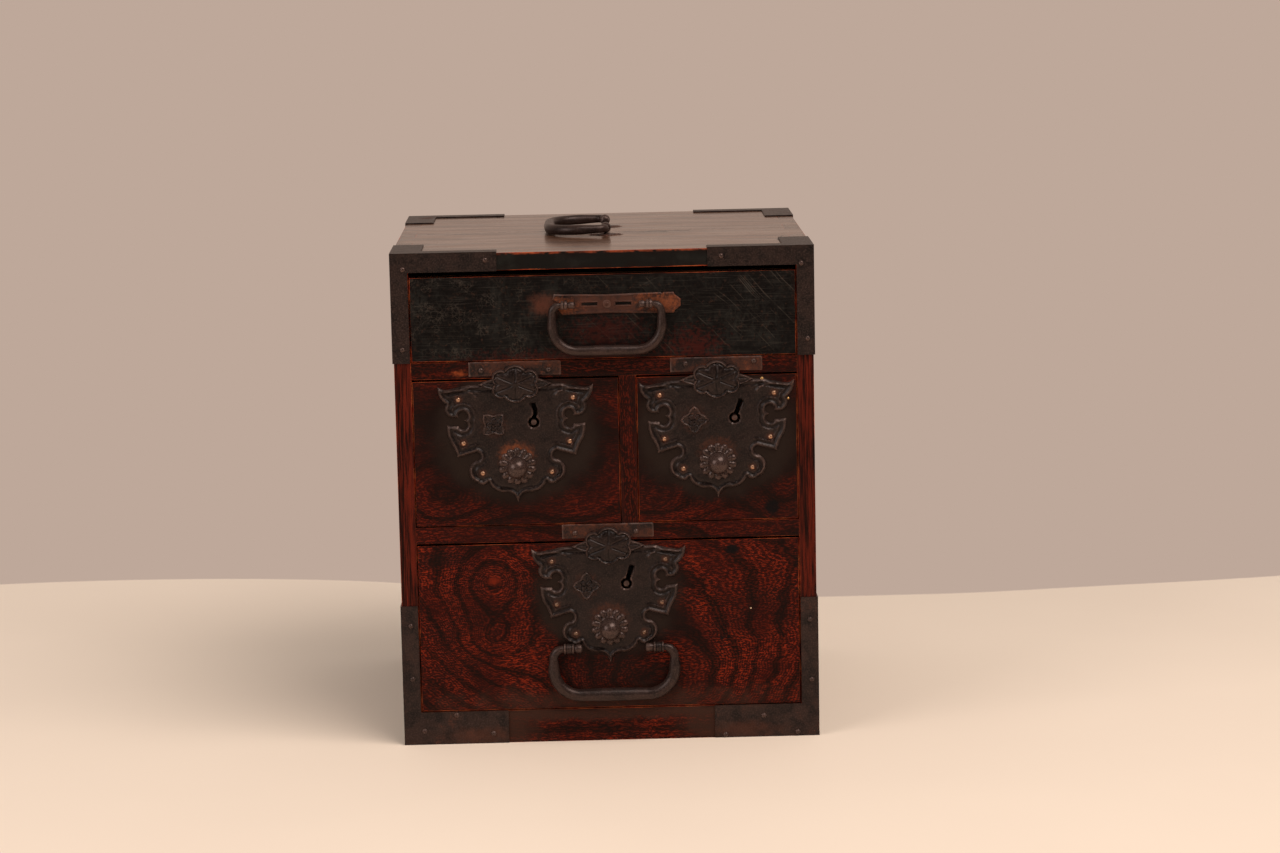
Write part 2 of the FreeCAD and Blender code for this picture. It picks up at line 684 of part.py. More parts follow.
def washer(side):
    """A lozenge plate with four hollow sides, slotted for the eye."""
    half, cusp = number("washer_width/2"), number("washer_hollow")
    edges = trace((half, 0), (cusp, cusp, 0, half), (-cusp, cusp, -half, 0), (-cusp, -cusp, 0, -half),
                  (cusp, -cusp, half, 0))
    wide, thick = number("carry_handle_eye_width/2"), number("eye_shank/2")
    piece = sheet_piece(edges, "washer_sheet", [rectangle((-wide, wide), (-thick, thick))])
    return place(piece, "carry_handle_across", f"{-side}*carry_handle_eyes/2", "case_height", turn=LYING)


node("carry_handle_washers", washer(-1), washer(1))


# The broken left end of the backplate, from its lower to its upper corner, as shares of its reach and of
# half its height.
BROKEN_END = ((0.82, -1), (0.9, -0.4), (0.84, 0), (1, 0.5), (0.97, 1))


def handle_plate():
    """The top handle's backplate: waisted, a lobed right end, a broken left end, two slots."""
    right, left = number("handle_plate_right"), number("handle_plate_left")
    tall, waist = number("handle_plate_height/2"), number("handle_plate_waist/2")
    nick, corner = number("handle_plate_nick"), number("handle_plate_corner")
    lobe = right - number("handle_plate_lobe")
    upper_right = ((lobe, tall), (lobe + nick, tall - nick), (lobe + 2 * nick, tall), (right - corner, tall),
                   (right - corner + nick, tall - 2 * nick), (right, tall - corner))
    lower_right = [(x, -z) for x, z in reversed(upper_right)]
    broken_end = [(-left * along, tall * up) for along, up in BROKEN_END]
    edges = trace((0, waist), *upper_right, *lower_right, (0, -waist), *broken_end, (0, waist))

    start, slot_half = number("handle_plate_slot_start"), number("handle_plate_slot_height/2")
    end = start + number("handle_plate_slot")
    eyes, wide, thick = number("top_handle_eyes/2"), number("top_handle_eye_width/2"), number("eye_shank/2")
    openings = []
    for side in (-1, 1):
        openings.append(rectangle((side * start, side * end), (-slot_half, slot_half)))
        openings.append(rectangle((side * eyes - wide, side * eyes + wide), (-thick, thick)))
    return place(sheet_piece(edges, "handle_plate_sheet", openings), *TOP_HANDLE_AT)


node("top_drawer_handle_plate", handle_plate())


# ---- locks ------------------------------------------------------------------------------------------------
# The sheet pieces of a lock are drawn from the lock plate's middle and the drawer's top edge.

PLATE_DRAWN = (55.5, 88.6)
# Right half of the lock plate: wing, three lobes parted by a boar's-eye notch and a hook, and the tip.
PLATE_START = (0.0, -2.9)
PLATE_HALF = (
    (33.0, -2.9),
    (48.3, -5.9),
    (52.2, -5.6, 55.5, -3.9),
    (54.4, -10.8, 49.9, -16.5),
    (50.2, -22.6, 44.6, -26.4),
    (41.2, -26.0),
    (36.1, -22.3, 37.2, -28.4),
    (35.7, -33.6, 41.2, -32.6),
    (49.5, -31.9),
    (49.0, -39.5, 45.9, -46.0),
    (44.0, -50.5, 42.6, -55.0),
    (35.5, -53.4, 28.6, -51.4),
    (26.0, -54.4, 29.6, -57.9),
    (34.6, -66.0, 28.6, -74.2),
    (24.6, -75.4, 20.8, -73.4),
    (15.8, -79.4, 8.8, -81.2),
    (3.0, -83.4, 0.0, -88.6),
)


def scaled(steps, across, down):
    return [tuple(value * (down if index % 2 else across) for index, value in enumerate(step))
            for step in steps]


def keyhole(lean, spare=0.0):
    """A round hole with a leaning slot above it, as one outline."""
    x, z = number("key_across"), -number("key_down")
    radius, half = number("key_bore/2") + spare, number("key_slot/2") + spare
    angle = math.radians(lean)
    up, right = Vector(math.sin(angle), math.cos(angle), 0), Vector(math.cos(angle), -math.sin(angle), 0)
    middle = Vector(x, z, 0)
    shoulder = math.sqrt(radius * radius - half * half)
    reach_up = number("key_reach") + spare
    points = [middle + right * half + up * shoulder, middle + right * half + up * reach_up,
              middle - right * half + up * reach_up, middle - right * half + up * shoulder]
    bottom = middle - up * radius
    (ax, az), (bx, bz), (cx, cz), (dx, dz) = [(point.x, point.y) for point in points]
    return trace((ax, az), (bx, bz), (cx, cz), (dx, dz), (bottom.x, bottom.y, ax, az))


def at_lock(piece, lock, forward="0"):
    return place(piece, middle_of(lock), f"{FRONT} - ({forward})", top_edge_of(lock))


def lock_plate(lock):
    across = number("lock_width/2") / PLATE_DRAWN[0]
    down = number("lock_drop") / PLATE_DRAWN[1]
    start, *half = scaled((PLATE_START,) + PLATE_HALF, across, down)
    play = 2 * number("pivot_clearance")
    openings = [keyhole(LOCKS[lock][0]),
                circle(0, -number("knob_down"), number("knob_shank") + play),
                circle(-number("crest_across"), -number("crest_down"), number("crest_pin") + play)]
    return at_lock(sheet_piece(mirrored(start, half), "lock_sheet", openings), lock)


PETALS = 6
PETAL_CUSP = 0.86      # how far out the cusps between the petals are, as a share of the petals' reach
LEAF_BELLY = 0.72      # where a leaf's edge bends, as a share of its reach
LEAF_RISE = 0.55       # and how high it still is there, as a share of its half width


def petal_outline():
    """Petals round an oval, parted by cusps."""
    half_wide, half_high = number("boss_width/2"), number("boss_height/2")

    def on_oval(petal, share=1.0):
        angle = 2 * math.pi * petal / PETALS
        return (half_wide * share * math.cos(angle), half_high * share * math.sin(angle))

    steps = [(*on_oval(n + 0.5), *on_oval(n + 1, PETAL_CUSP)) for n in range(PETALS)]
    return trace(on_oval(0, PETAL_CUSP), *steps)


def leaf_outline():
    """The two pointed leaves, which meet behind the petals."""
    tip, half = number("boss_span/2"), number("boss_leaf/2")
    belly, rise = tip * LEAF_BELLY, half * LEAF_RISE
    return trace((-tip, 0), (-belly, rise, 0, half), (belly, rise, tip, 0),
                 (belly, -rise, 0, -half), (-belly, -rise, -tip, 0))


def lock_boss(lock):
    """The boss: domed petals over a thinner pair of leaves."""
    dome = doc.addObject("Part::Sphere", "dome")
    # The ball passes through the crown in the middle and the rim at the petals' ends.
    half, sag = "(boss_width/2)", "(boss_crown - boss_edge)"
    radius = f"({half}*{half} + {sag}*{sag})/(2*{sag})"
    bind(dome, "Radius", radius)
    place(dome, "0", f"{radius} - boss_crown", "0")
    beyond = carve(block(("-boss_width/2", "boss_width/2"), ("-2*boss_crown", "0"),
                         ("-boss_height", "boss_height")), dome)
    flower = join(sheet_piece(petal_outline(), "boss_crown"), sheet_piece(leaf_outline(), "boss_edge"))
    boss = carve(flower, beyond)
    return place(boss, middle_of(lock), f"{FRONT} - lock_sheet", f"{top_edge_of(lock)} - boss_down")


def crest_outline():
    """A square whose sides bulge twice, with a notch between the bulges."""
    half = number("crest_size/2")
    bulge, notch = half + number("crest_bulge"), half - number("crest_notch")
    side = ((bulge, -half / 2), (notch, 0), (bulge, half / 2), (half, half))
    steps = []
    for quarter in range(4):
        angle = math.pi / 2 * quarter
        steps += [(x * math.cos(angle) - z * math.sin(angle), x * math.sin(angle) + z * math.cos(angle))
                  for x, z in side]
    return trace((half, -half), *steps)


def lock_crest(lock):
    """A crest on its pivot pin."""
    pin = rod("y", ("0", "0", "0"), "crest_gap + lock_sheet + crest_pin_depth", "crest_pin")
    turn = Rotation(Vector(0, 1, 0), LOCKS[lock][1])
    return place(join(sheet_piece(crest_outline(), "crest_sheet"), pin), f"{middle_of(lock)} - crest_across",
                 f"{FRONT} - lock_sheet - crest_gap", f"{top_edge_of(lock)} - crest_down", turn=turn)


# Where the outer flat of a bead starts and ends, as shares of the way from cusp to cusp.
BEAD_FLAT = (0.28, 0.72)


def rosette_outline():
    """A ring of beads, drawn as one edge with three flats to each bead."""
    count = int(number("rosette_count"))
    outer, cusp = number("rosette_width/2"), number("rosette_cusp/2")

    def spoke(radius, turn):
        angle = 2 * math.pi * turn / count
        return (radius * math.cos(angle), radius * math.sin(angle))

    steps = []
    for bead in range(count):
        last = 0 if bead == count - 1 else bead + 1
        steps += [spoke(outer, bead + BEAD_FLAT[0]), spoke(outer, bead + BEAD_FLAT[1]), spoke(cusp, last)]
    return trace(spoke(cusp, 0), *steps)


# The ball's outline is drawn in straight chords from the neck to the pole, so that three knobs stay light.
BALL_CHORDS = 7


def ball_profile(ball_radius, neck, stand):
    """Corners of the ball's outline above the neck, as far as the pole."""
    first = -math.acos(neck / ball_radius)
    pitch = (math.pi / 2 - first) / BALL_CHORDS
    corners = [(ball_radius * math.cos(first + n * pitch), stand + ball_radius * math.sin(first + n * pitch))
               for n in range(1, BALL_CHORDS)]
    return [*corners, (0, stand + ball_radius)]


def knob(lock):
    """Ball, neck, hub and shank turned as one, on a scalloped rosette."""
    body = doc.addObject("PartDesign::Body", "knob")
    shank = number("knob_shank/2")
    tail = -number("lock_sheet + front_thickness + clinch_sheet")
    neck, ball_radius, hub = number("knob_neck/2"), number("knob_ball/2"), number("rosette_hub/2")
    sheet_top, crown = number("rosette_sheet"), number("rosette_crown")
    under = crown + number("knob_stem")
    stand = under + math.sqrt(ball_radius ** 2 - neck ** 2)
    profile = trace((0, tail), (shank, tail), (shank, 0), (hub, 0), (hub, sheet_top), (neck, crown),
                    (neck, under), *ball_profile(ball_radius, neck, stand), (0, tail))
    turned = body.newObject("PartDesign::Revolution", "turned")
    turned.Profile = sketch_on(body, "XZ_Plane", profile, "profile")
    axis = next(feature for feature in body.Origin.OriginFeatures if feature.Role == "Z_Axis")
    turned.ReferenceAxis = (axis, [""])
    turned.Angle = 360
    rosette = body.newObject("PartDesign::Pad", "rosette")
    rosette.Profile = sketch_on(body, "XY_Plane", rosette_outline(), "beads")
    bind(rosette, "Length", "rosette_sheet")
    outwards = Rotation(Vector(0, 0, 1), Vector(0, -1, 0))
    return place(body, middle_of(lock), f"{FRONT} - lock_sheet", f"{top_edge_of(lock)} - knob_down",
                 turn=outwards)


def lock_spans(lock):
    """The lock case's outer spans along X, Y and Z."""
    middle, top = middle_of(lock), f"({top_edge_of(lock)} - case_top_down)"
    back = f"({FRONT} + front_thickness)"
    return ((f"{middle} - case_left_reach", f"{middle} + case_right_reach"),
            (back, f"{back} + lock_case_depth"), (f"{top} - case_drop", top))


def bolt_spans(lock, play):
    """The lock bolt's spans along X and Y at rest, with play round them."""
    middle = f"({middle_of(lock)} + bolt_across)"
    depth = f"({FRONT} + front_thickness + lock_case_depth/2)"
    half, thin = f"(bolt_width/2 + {play})", f"(bolt_thickness/2 + {play})"
    return (f"{middle} - {half}", f"{middle} + {half}"), (f"{depth} - {thin}", f"{depth} + {thin}")


def lock_case(lock):
    """An iron tray against the drawer front: bolt slot, two bolt guides, a ledge and the key pin."""
    x, y, z = lock_spans(lock)
    wall = "case_sheet"
    hollow = block((f"{x[0]} + {wall}", f"{x[1]} - {wall}"), (y[0], f"{y[1]} - {wall}"),
                   (f"{z[0]} + {wall}", f"{z[1]} - {wall}"))
    bolt_x, bolt_y = bolt_spans(lock, "bolt_gap")
    shell = carve(block(x, y, z), hollow, block(bolt_x, bolt_y, (f"{z[1]} - {wall}", z[1])))
    guides = [block(span, (bolt_y[0], f"{y[1]} - {wall}"), (f"{z[0]} + {wall}", f"{z[1]} - {wall}"))
              for span in ((f"{bolt_x[0]} - {wall}", bolt_x[0]), (bolt_x[1], f"{bolt_x[1]} + {wall}"))]
    ledge = block(bolt_x, (bolt_y[0], f"{y[1]} - {wall}"),
                  (f"{z[0]} + {wall}", f"{z[1]} - bolt_length - drawer_floor_gap"))
    pin_at = (f"{middle_of(lock)} + key_across", f"{FRONT} - lock_sheet/2",
              f"{top_edge_of(lock)} - key_down")
    pin = rod("y", pin_at, f"{y[1]} - {wall}/2 - ({FRONT} - lock_sheet/2)", "key_pin")
    return join(shell, pin, ledge, *guides)


def lock_bolt(lock):
    """A flat bolt with a notch in the edge that faces the key."""
    x, y = bolt_spans(lock, "0")
    top = lock_spans(lock)[2][1]
    bar = block(x, y, (f"{top} - bolt_length", top))
    notch_middle = f"({top_edge_of(lock)} - key_down)"
    notch = block((f"{x[1]} - bolt_notch/2", x[1]), y,
                  (f"{notch_middle} - bolt_notch/2", f"{notch_middle} + bolt_notch/2"))
    return carve(bar, notch)


for lock in LOCKS:
    node(f"{lock}_lock_plate", lock_plate(lock))
    node(f"{lock}_lock_boss", lock_boss(lock))
    node(f"{lock}_lock_crest", lock_crest(lock))
    node(f"{lock}_knob", knob(lock))
    node(f"{lock}_lock_case", lock_case(lock))
    node(f"{lock}_lock_bolt", lock_bolt(lock))


# ---- drawers ----------------------------------------------------------------------------------------------

DRAWER_BACK = f"({PLANK_FRONT} - drawer_back_gap)"


def shank_slots(name, handle_z):
    """Slots through a drawer front for a handle's two eyes."""
    front = (FRONT, f"{FRONT} + front_thickness")
    slots = []
    for side in (-1, 1):
        middle = f"(handle_offset + {side}*{name}_eyes/2)"
        slots.append(block((f"{middle} - {name}_eye_width/2", f"{middle} + {name}_eye_width/2"), front,
                           (f"{handle_z} - eye_shank/2", f"{handle_z} + eye_shank/2")))
    return slots


def lock_bores(lock):
    """What a lock needs in its drawer front: keyhole, knob shank and crest pivot."""
    drop = sheet_piece(keyhole(LOCKS[lock][0], number("key_clearance")), "front_thickness")
    place(drop, middle_of(lock), f"{FRONT} + front_thickness", top_edge_of(lock))
    knob_at = (middle_of(lock), FRONT, f"{top_edge_of(lock)} - knob_down")
    crest_at = (f"{middle_of(lock)} - crest_across", FRONT, f"{top_edge_of(lock)} - crest_down")
    play = "2*pivot_clearance"
    return [drop, rod("y", knob_at, "front_thickness", f"knob_shank + {play}"),
            rod("y", crest_at, "crest_pin_depth + drawer_floor_gap", f"crest_pin + {play}")]


def drawer(name):
    """A drawer: half-lapped front, two sides and a back joined by fingers, and a bottom under them."""
    left, right, floor, ceiling, play = DRAWERS[name]
    outer = (f"{left} + drawer_side_gap", f"{right} - drawer_side_gap")
    top = top_edge_of(name)
    behind = f"({FRONT} + front_thickness)"
    lap = f"({behind} - drawer_lap)"
    base = f"({floor} + drawer_floor_gap)"
    wall_z = (f"{base} + drawer_bottom", f"{top} - drawer_side_drop")
    left_wall = (outer[0], f"{outer[0]} + drawer_wall")
    right_wall = (f"{outer[1]} - drawer_wall", outer[1])

    front = block(outer, (FRONT, behind), (f"{floor} + front_foot_gap", top))
    lets = [block(span, (lap, behind), (base, wall_z[1])) for span in (left_wall, right_wall)]
    lets.append(block(outer, (lap, behind), (base, wall_z[0])))
    if name in LOCKS:
        lets += lock_bores(name)
    if name == "top":
        lets += shank_slots("top_handle", TOP_HANDLE_AT[2])
    if name == "bottom":
        lets += shank_slots("bottom_handle", BOTTOM_HANDLE_AT[2])
    node(f"{name}_drawer_front", carve(front, *lets))

    back_y = (f"{DRAWER_BACK} - drawer_wall", DRAWER_BACK)
    pitch = f"(({wall_z[1]}) - ({wall_z[0]}))/drawer_fingers"

    def corner(span):
        return [block(span, back_y, (f"{wall_z[0]} + {n}*{pitch}", f"{wall_z[0]} + {n + 1}*{pitch}"))
                for n in range(1, int(number("drawer_fingers")), 2)]

    walls = [carve(block(span, (lap, DRAWER_BACK), wall_z), *corner(span))
             for span in (left_wall, right_wall)]
    node(f"{name}_drawer_sides", *walls)
    middle = block((left_wall[1], right_wall[0]), back_y, wall_z)
    node(f"{name}_drawer_back", join(middle, *corner(left_wall), *corner(right_wall)))
    node(f"{name}_drawer_bottom", block(outer, (lap, DRAWER_BACK), (base, wall_z[0])))


for name in DRAWERS:
    drawer(name)


# ---- check and write --------------------------------------------------------------------------------------

doc.recompute()
for thing in doc.Objects:
    if "Invalid" in thing.State or "Error" in thing.State:
        raise RuntimeError(f"{thing.Name} of {thing.Label} failed: {thing.State}")
for piece in NODES:
    if piece.Shape.isNull() or not piece.Shape.isValid() or not piece.Shape.Solids:
        raise RuntimeError(f"{piece.Label} is not a valid solid")

os.makedirs("parts", exist_ok=True)
for piece in NODES:
    piece.Shape.exportStep(f"parts/{piece.Label}.step")
    print(f"{piece.Label}: {len(piece.Shape.Solids)} solids, {piece.Shape.Volume:.0f} mm3")
print(len(NODES), "nodes")
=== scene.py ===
import json
import math
import random
from collections import namedtuple

import bmesh
import bpy
import numpy as np
from bpy.props import FloatProperty, FloatVectorProperty, PointerProperty
from mathutils import Matrix, Vector, geometry


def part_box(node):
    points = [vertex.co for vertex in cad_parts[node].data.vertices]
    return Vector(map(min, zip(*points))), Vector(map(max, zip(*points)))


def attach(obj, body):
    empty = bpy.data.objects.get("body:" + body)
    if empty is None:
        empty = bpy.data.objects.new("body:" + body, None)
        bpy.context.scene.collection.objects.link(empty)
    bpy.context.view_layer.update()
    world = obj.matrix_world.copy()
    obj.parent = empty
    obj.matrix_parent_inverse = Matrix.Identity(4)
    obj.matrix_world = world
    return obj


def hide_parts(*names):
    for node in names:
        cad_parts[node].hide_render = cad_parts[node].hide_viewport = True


bl_info = {
    "name": "Small tansu chest",
    "version": (1, 0, 0),
    "blender": (4, 5, 0),
    "location": "3D Viewport > Sidebar > Tansu",
    "description": "Lacquered keyaki chest with wrought-iron fittings, one button for each group of pieces",
    "category": "Object",
}

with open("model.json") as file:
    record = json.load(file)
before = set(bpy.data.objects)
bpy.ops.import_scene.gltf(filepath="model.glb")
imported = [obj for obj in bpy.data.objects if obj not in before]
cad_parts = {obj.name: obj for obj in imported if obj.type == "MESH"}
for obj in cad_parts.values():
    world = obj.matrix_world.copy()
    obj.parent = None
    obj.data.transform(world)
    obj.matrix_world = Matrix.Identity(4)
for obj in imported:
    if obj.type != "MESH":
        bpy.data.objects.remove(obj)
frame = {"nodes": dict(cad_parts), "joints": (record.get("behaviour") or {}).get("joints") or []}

MM = 0.001
TURN = 2 * math.pi
LOCKS = ("left", "right", "bottom")
DRAWERS = ("top", "left", "right", "bottom")


def linear(*levels):
    """A colour of 0 to 255 levels, as a screen shows them, in the renderer's own units."""
    parts = [level / 255 for level in levels]
    return tuple(part / 12.92 if part < 0.04045 else ((part + 0.055) / 1.055) ** 2.4 for part in parts)


def colour(name, description, *levels):
    return FloatVectorProperty(name=name, description=description, subtype="COLOR", size=3, min=0, max=1,
                               default=linear(*levels))


def length(name, description, millimetres):
    return FloatProperty(name=name, description=description, default=millimetres * MM, unit="LENGTH",
                         subtype="DISTANCE")


# ---- colours and sizes ------------------------------------------------------------------------------------

class ChestColours(bpy.types.PropertyGroup):
    black_lacquer: colour("Black lacquer", "Top drawer and rails", 13, 10, 9)
    grey_film: colour("Grey film", "Dry bloom on the black lacquer", 32, 30, 27)
    brown_lacquer: colour("Brown lacquer", "Smoky lacquer between the rings", 24, 9, 6)
    red_lacquer: colour("Red lacquer", "Lacquer over the pores", 42, 11, 7)
    bright_pores: colour("Bright pores", "Orange pore dashes of keyaki", 122, 36, 15)
    worn_edge: colour("Worn edge", "Where lacquer has rubbed off an edge", 158, 74, 38)
    smoke: colour("Smoke", "Patina round the irons", 24, 13, 10)
    patina: colour("Patina", "Oiled wood round the lock plates", 37, 27, 22)
    haze: colour("Haze", "Dusty lacquer near the floor", 56, 35, 27)
    stain: colour("Stain", "Old dark stains", 14, 12, 12)
    grey_top: colour("Grey top", "Bleached top board", 108, 75, 57)
    softwood: colour("Softwood", "Drawer sides, backs and bottoms", 152, 112, 72)
    softwood_line: colour("Softwood line", "Late rings of the softwood", 112, 76, 46)
    iron: colour("Iron", "Brown-black wrought iron", 50, 34, 29)
    # Pale iron is also the painted highlight on ridges; dark iron is also the painted shade in creases.
    iron_pale: colour("Pale iron", "Rubbed iron", 104, 80, 72)
    iron_dark: colour("Dark iron", "Sooty hollows of the iron", 23, 15, 13)
    rust: colour("Rust", "Thin red-brown rust", 92, 50, 34)
    rust_bright: colour("Bright rust", "Fresh orange rust", 132, 70, 40)
    copper: colour("Copper", "Copper nails", 184, 140, 112)
    brass: colour("Brass", "Brass nails", 224, 178, 116)
    cloth: colour("Cloth", "Pale cloth under the chest", 240, 218, 198)
    backdrop: colour("Backdrop", "Wall behind the chest", 190, 168, 154)


class ChestSizes(bpy.types.PropertyGroup):
    board_round: length("Board rounding", "Rounding of the boards' edges", 0.7)
    front_round: length("Front rounding", "Rounding of the drawer fronts' edges", 1.1)
    iron_round: length("Iron rounding", "Rounding of the irons' edges", 0.35)
    wear_reach: length("Wear reach", "How far edge wear reaches", 0.9)
    ring_gap: length("Ring gap", "From one growth ring to the next on a face", 10.0)
    plate_pitch: length("Plate pitch", "Mesh pitch of the lock plates", 0.75)
    small_pitch: length("Small pitch", "Mesh pitch of the bosses, crests and washers", 0.5)
    nail: length("Nail", "Width of a nail head", 3.5)


def colours():
    return bpy.context.scene.chest_colours


def sizes():
    return bpy.context.scene.chest_sizes


# ---- wiring -----------------------------------------------------------------------------------------------

class Value:
    """A node's output. Its sums and products are nodes in its own tree; a tuple as factor scales a vector."""

    def __init__(self, socket):
        self.socket = socket
        self.tree = socket.id_data

    def __add__(self, other):
        return maths("ADD", self, other)

    def __sub__(self, number):
        return self + -number

    def __mul__(self, other):
        return vector("MULTIPLY", self, other) if isinstance(other, tuple) else maths("MULTIPLY", self, other)

    def __truediv__(self, other):
        return maths("DIVIDE", self, other)


def feed(socket, value):
    """Wire a value into a socket, or set a constant on it."""
    if isinstance(value, Value):
        value.tree.links.new(value.socket, socket)
    else:
        socket.default_value = (*value, 1) if socket.type == "RGBA" else value


def add_node(tree, kind, inputs=None, **settings):
    made = tree.nodes.new("ShaderNode" + kind)
    for name, value in settings.items():
        setattr(made, name, value)
    for name, value in (inputs or {}).items():
        feed(made.inputs[name], value)
    return made


def out(kind, inputs, output=0, **settings):
    """An output of a new node, made in the tree of the first value that goes into it."""
    tree = next(value.tree for value in inputs.values() if isinstance(value, Value))
    return Value(add_node(tree, kind, inputs, **settings).outputs[output])


def maths(operation, a, b=0.0):
    return out("Math", {0: a, 1: b}, operation=operation)


def vector(operation, a, b=(0, 0, 0)):
    number = operation in ("LENGTH", "DISTANCE", "DOT_PRODUCT")
    return out("VectorMath", {0: a, 1: b}, "Value" if number else "Vector", operation=operation)


def parts(point):
    return [Value(socket) for socket in add_node(point.tree, "SeparateXYZ", {0: point}).outputs]


def joined(x, y, z):
    return out("CombineXYZ", {0: x, 1: y, 2: z})


def ramp(value, low, high, start=0.0, end=1.0):
    """From start to end, smoothly, as the value goes from low to high."""
    return out("MapRange", {0: value, 1: low, 2: high, 3: start, 4: end}, interpolation_type="SMOOTHSTEP")


def blend(share, first, second):
    """The first colour where the share is 0, the second where it is 1."""
    return out("Mix", {0: share, 6: first, 7: second}, 2, data_type="RGBA")


def noise(point, scale, detail=2.0, roughness=0.5, warp=0.0):
    return out("TexNoise", {"Vector": point, "Scale": scale, "Detail": detail, "Roughness": roughness,
                            "Distortion": warp})


def shaken(point, moved_point, scale, detail, reach):
    """A point moved about by noise."""
    drift = out("TexNoise", {"Vector": point, "Scale": scale, "Detail": detail}, "Color")
    return vector("ADD", moved_point, drift * reach)


def cells(point, scale, feature):
    return out("TexVoronoi", {"Vector": point, "Scale": scale}, feature=feature)


def effect(*outputs, **inputs):
    """Make a wiring function a node group, built at its first use and shared by all materials."""
    def build(wiring):
        name = wiring.__name__.replace("_", " ")

        def use(*values):
            group = bpy.data.node_groups.get(name) or new_group(name, inputs, outputs, wiring)
            made = add_node(values[0].tree, "Group", dict(zip(inputs, values)), node_tree=group)
            return [Value(socket) for socket in made.outputs]

        return use

    return build


def new_group(name, inputs, outputs, wiring):
    made = bpy.data.node_groups.new(name, "ShaderNodeTree")
    for label, default in inputs.items():
        kind = "NodeSocketVector" if isinstance(default, tuple) else "NodeSocketFloat"
        made.interface.new_socket(label, in_out="INPUT", socket_type=kind).default_value = default
    for label in outputs:
        made.interface.new_socket(label, in_out="OUTPUT", socket_type="NodeSocketFloat")
    given = made.nodes.new("NodeGroupInput").outputs[:len(inputs)]
    result = made.nodes.new("NodeGroupOutput")
    for socket, value in zip(result.inputs, wiring(*map(Value, given))):
        feed(socket, value)
    return made


@effect("Worn", "Margin", Point=(0, 0, 0), Low=(0, 0, 0), High=(1, 1, 1), Reach=0.0015)
def edge_wear(point, low, high, reach):
    """Wear along the edges of a box: strong at its edges, ragged, none in the middle of a face."""
    x, y, z = parts(vector("MINIMUM", vector("SUBTRACT", point, low), vector("SUBTRACT", high, point)))
    small, large = maths("MINIMUM", x, y), maths("MAXIMUM", x, y)
    second = maths("MAXIMUM", small, maths("MINIMUM", large, z))
    patchy = ramp(noise(point, 28, 2), 0.36, 0.7, 0.1, 1.4)
    limit = reach * patchy * (noise(point, 520, 3, 0.65) + 0.45)
    return ramp(second, limit * 0.45, limit, 1, 0), ramp(second, 0.0, reach * 9, 1, 0)


@effect("Band", "Pores", "Fibre", Point=(0, 0, 0), Depth=0.0, Gap=0.007)
def keyaki_figure(point, depth, gap):
    """Ring bands and pore dashes of keyaki. Point has X along the grain, Y across it, Z into the board."""
    slow = noise(point * (9, 30, 14), 1, 3, 0.55) - 0.5
    waves = noise(point * (70, 190, 90), 1, 2) - 0.5
    field = depth + (slow * 0.016 + waves * 0.0022)
    uneven = (noise(point, 60, 2) - 0.5) * 1.5
    band = ramp(maths("SINE", field / gap * TURN) + uneven, 0.2, 1.05)
    fine_wave = maths("SINE", field * (TURN / PORE_GAP))
    crumbs = noise(point * (290, 1350, 700), 1, 2, 0.6, 0.9)
    pores = ramp(crumbs + fine_wave * 0.05, 0.49, 0.62) * maths("SUBTRACT", 1.0, band * 0.72)
    return band, pores, noise(point * (45, 1400, 900), 1, 3, 0.6)


def reach_from(point, centre, spread):
    """Distance from a centre, as a share of a spread."""
    return vector("LENGTH", vector("DIVIDE", vector("SUBTRACT", point, centre), spread))


@effect("Depth", Point=(0, 0, 0), Centre=(0, 0, 0), Spread=(1, 1, 1), Rise=0.02)
def swirl(point, centre, spread, rise):
    """A bump in the grain's depth round a centre: the rings close round it."""
    far = reach_from(point, centre, spread)
    return (maths("POWER", math.e, far * far * -1.0) * rise,)


@effect("Mask", Point=(0, 0, 0), Centre=(0, 0, 0), Spread=(1, 1, 1), Core=0.5, Grain=90.0, Ragged=0.8)
def patch(point, centre, spread, core, grain, ragged):
    """A soft, ragged patch round a place: 1 inside, 0 beyond its spread."""
    shaky = reach_from(point, centre, spread) + (noise(point, grain, 4, 0.6) - 0.5) * ragged
    return (ramp(shaky, core, 1.0, 1, 0),)


@effect("Mask", Point=(0, 0, 0), Angle=0.9, Start=0.7)
def scratches(point, angle, start):
    """Thin, faint scratches that run along a slanted direction, with gaps. The face is the XZ plane."""
    turned = out("VectorRotate", {"Vector": point, "Axis": (0, 1, 0), "Angle": angle},
                 rotation_type="AXIS_ANGLE")
    lines = noise(shaken(point, turned, 30, 1, (0.006, 0.0, 0.006)) * (8, 8, 900), 1, 1)
    return (ramp(lines, start, start + 0.035) * ramp(noise(point, 55, 2), 0.45, 0.62),)


@effect("Mottle", "Speckle", "Rust", "Bright", "Height", Point=(0, 0, 0), Rusty=0.0)
def forged_surface(point, rusty):
    """Mottle, speckle, rust, bright rust and height of old forged iron."""
    speckle = noise(point, 900, 3, 0.6)
    mottle = noise(point, 95, 5, 0.62) * 0.8 + noise(point, 420, 4, 0.65) * 0.2
    dents = cells(shaken(point, point, 140, 2, (0.004, 0.004, 0.004)), 210, "SMOOTH_F1")
    rust = ramp(noise(point, 48, 5, 0.68) * 0.75 + speckle * 0.25 + rusty, 0.56, 0.74)
    bright = rust * ramp(noise(point, 330, 4, 0.7), 0.52, 0.7)
    return mottle, speckle, rust, bright, dents * 0.5 + (mottle * 0.4 + speckle * 0.12)


def new_material(name):
    """A material with an empty tree, its point in the frame and its shader."""
    made = bpy.data.materials.new(name)
    made.use_nodes = True
    tree = made.node_tree
    tree.nodes.clear()
    shader = add_node(tree, "BsdfPrincipled")
    add_node(tree, "OutputMaterial", {0: Value(shader.outputs[0])})
    return made, Value(add_node(tree, "TexCoord").outputs["Object"]), shader


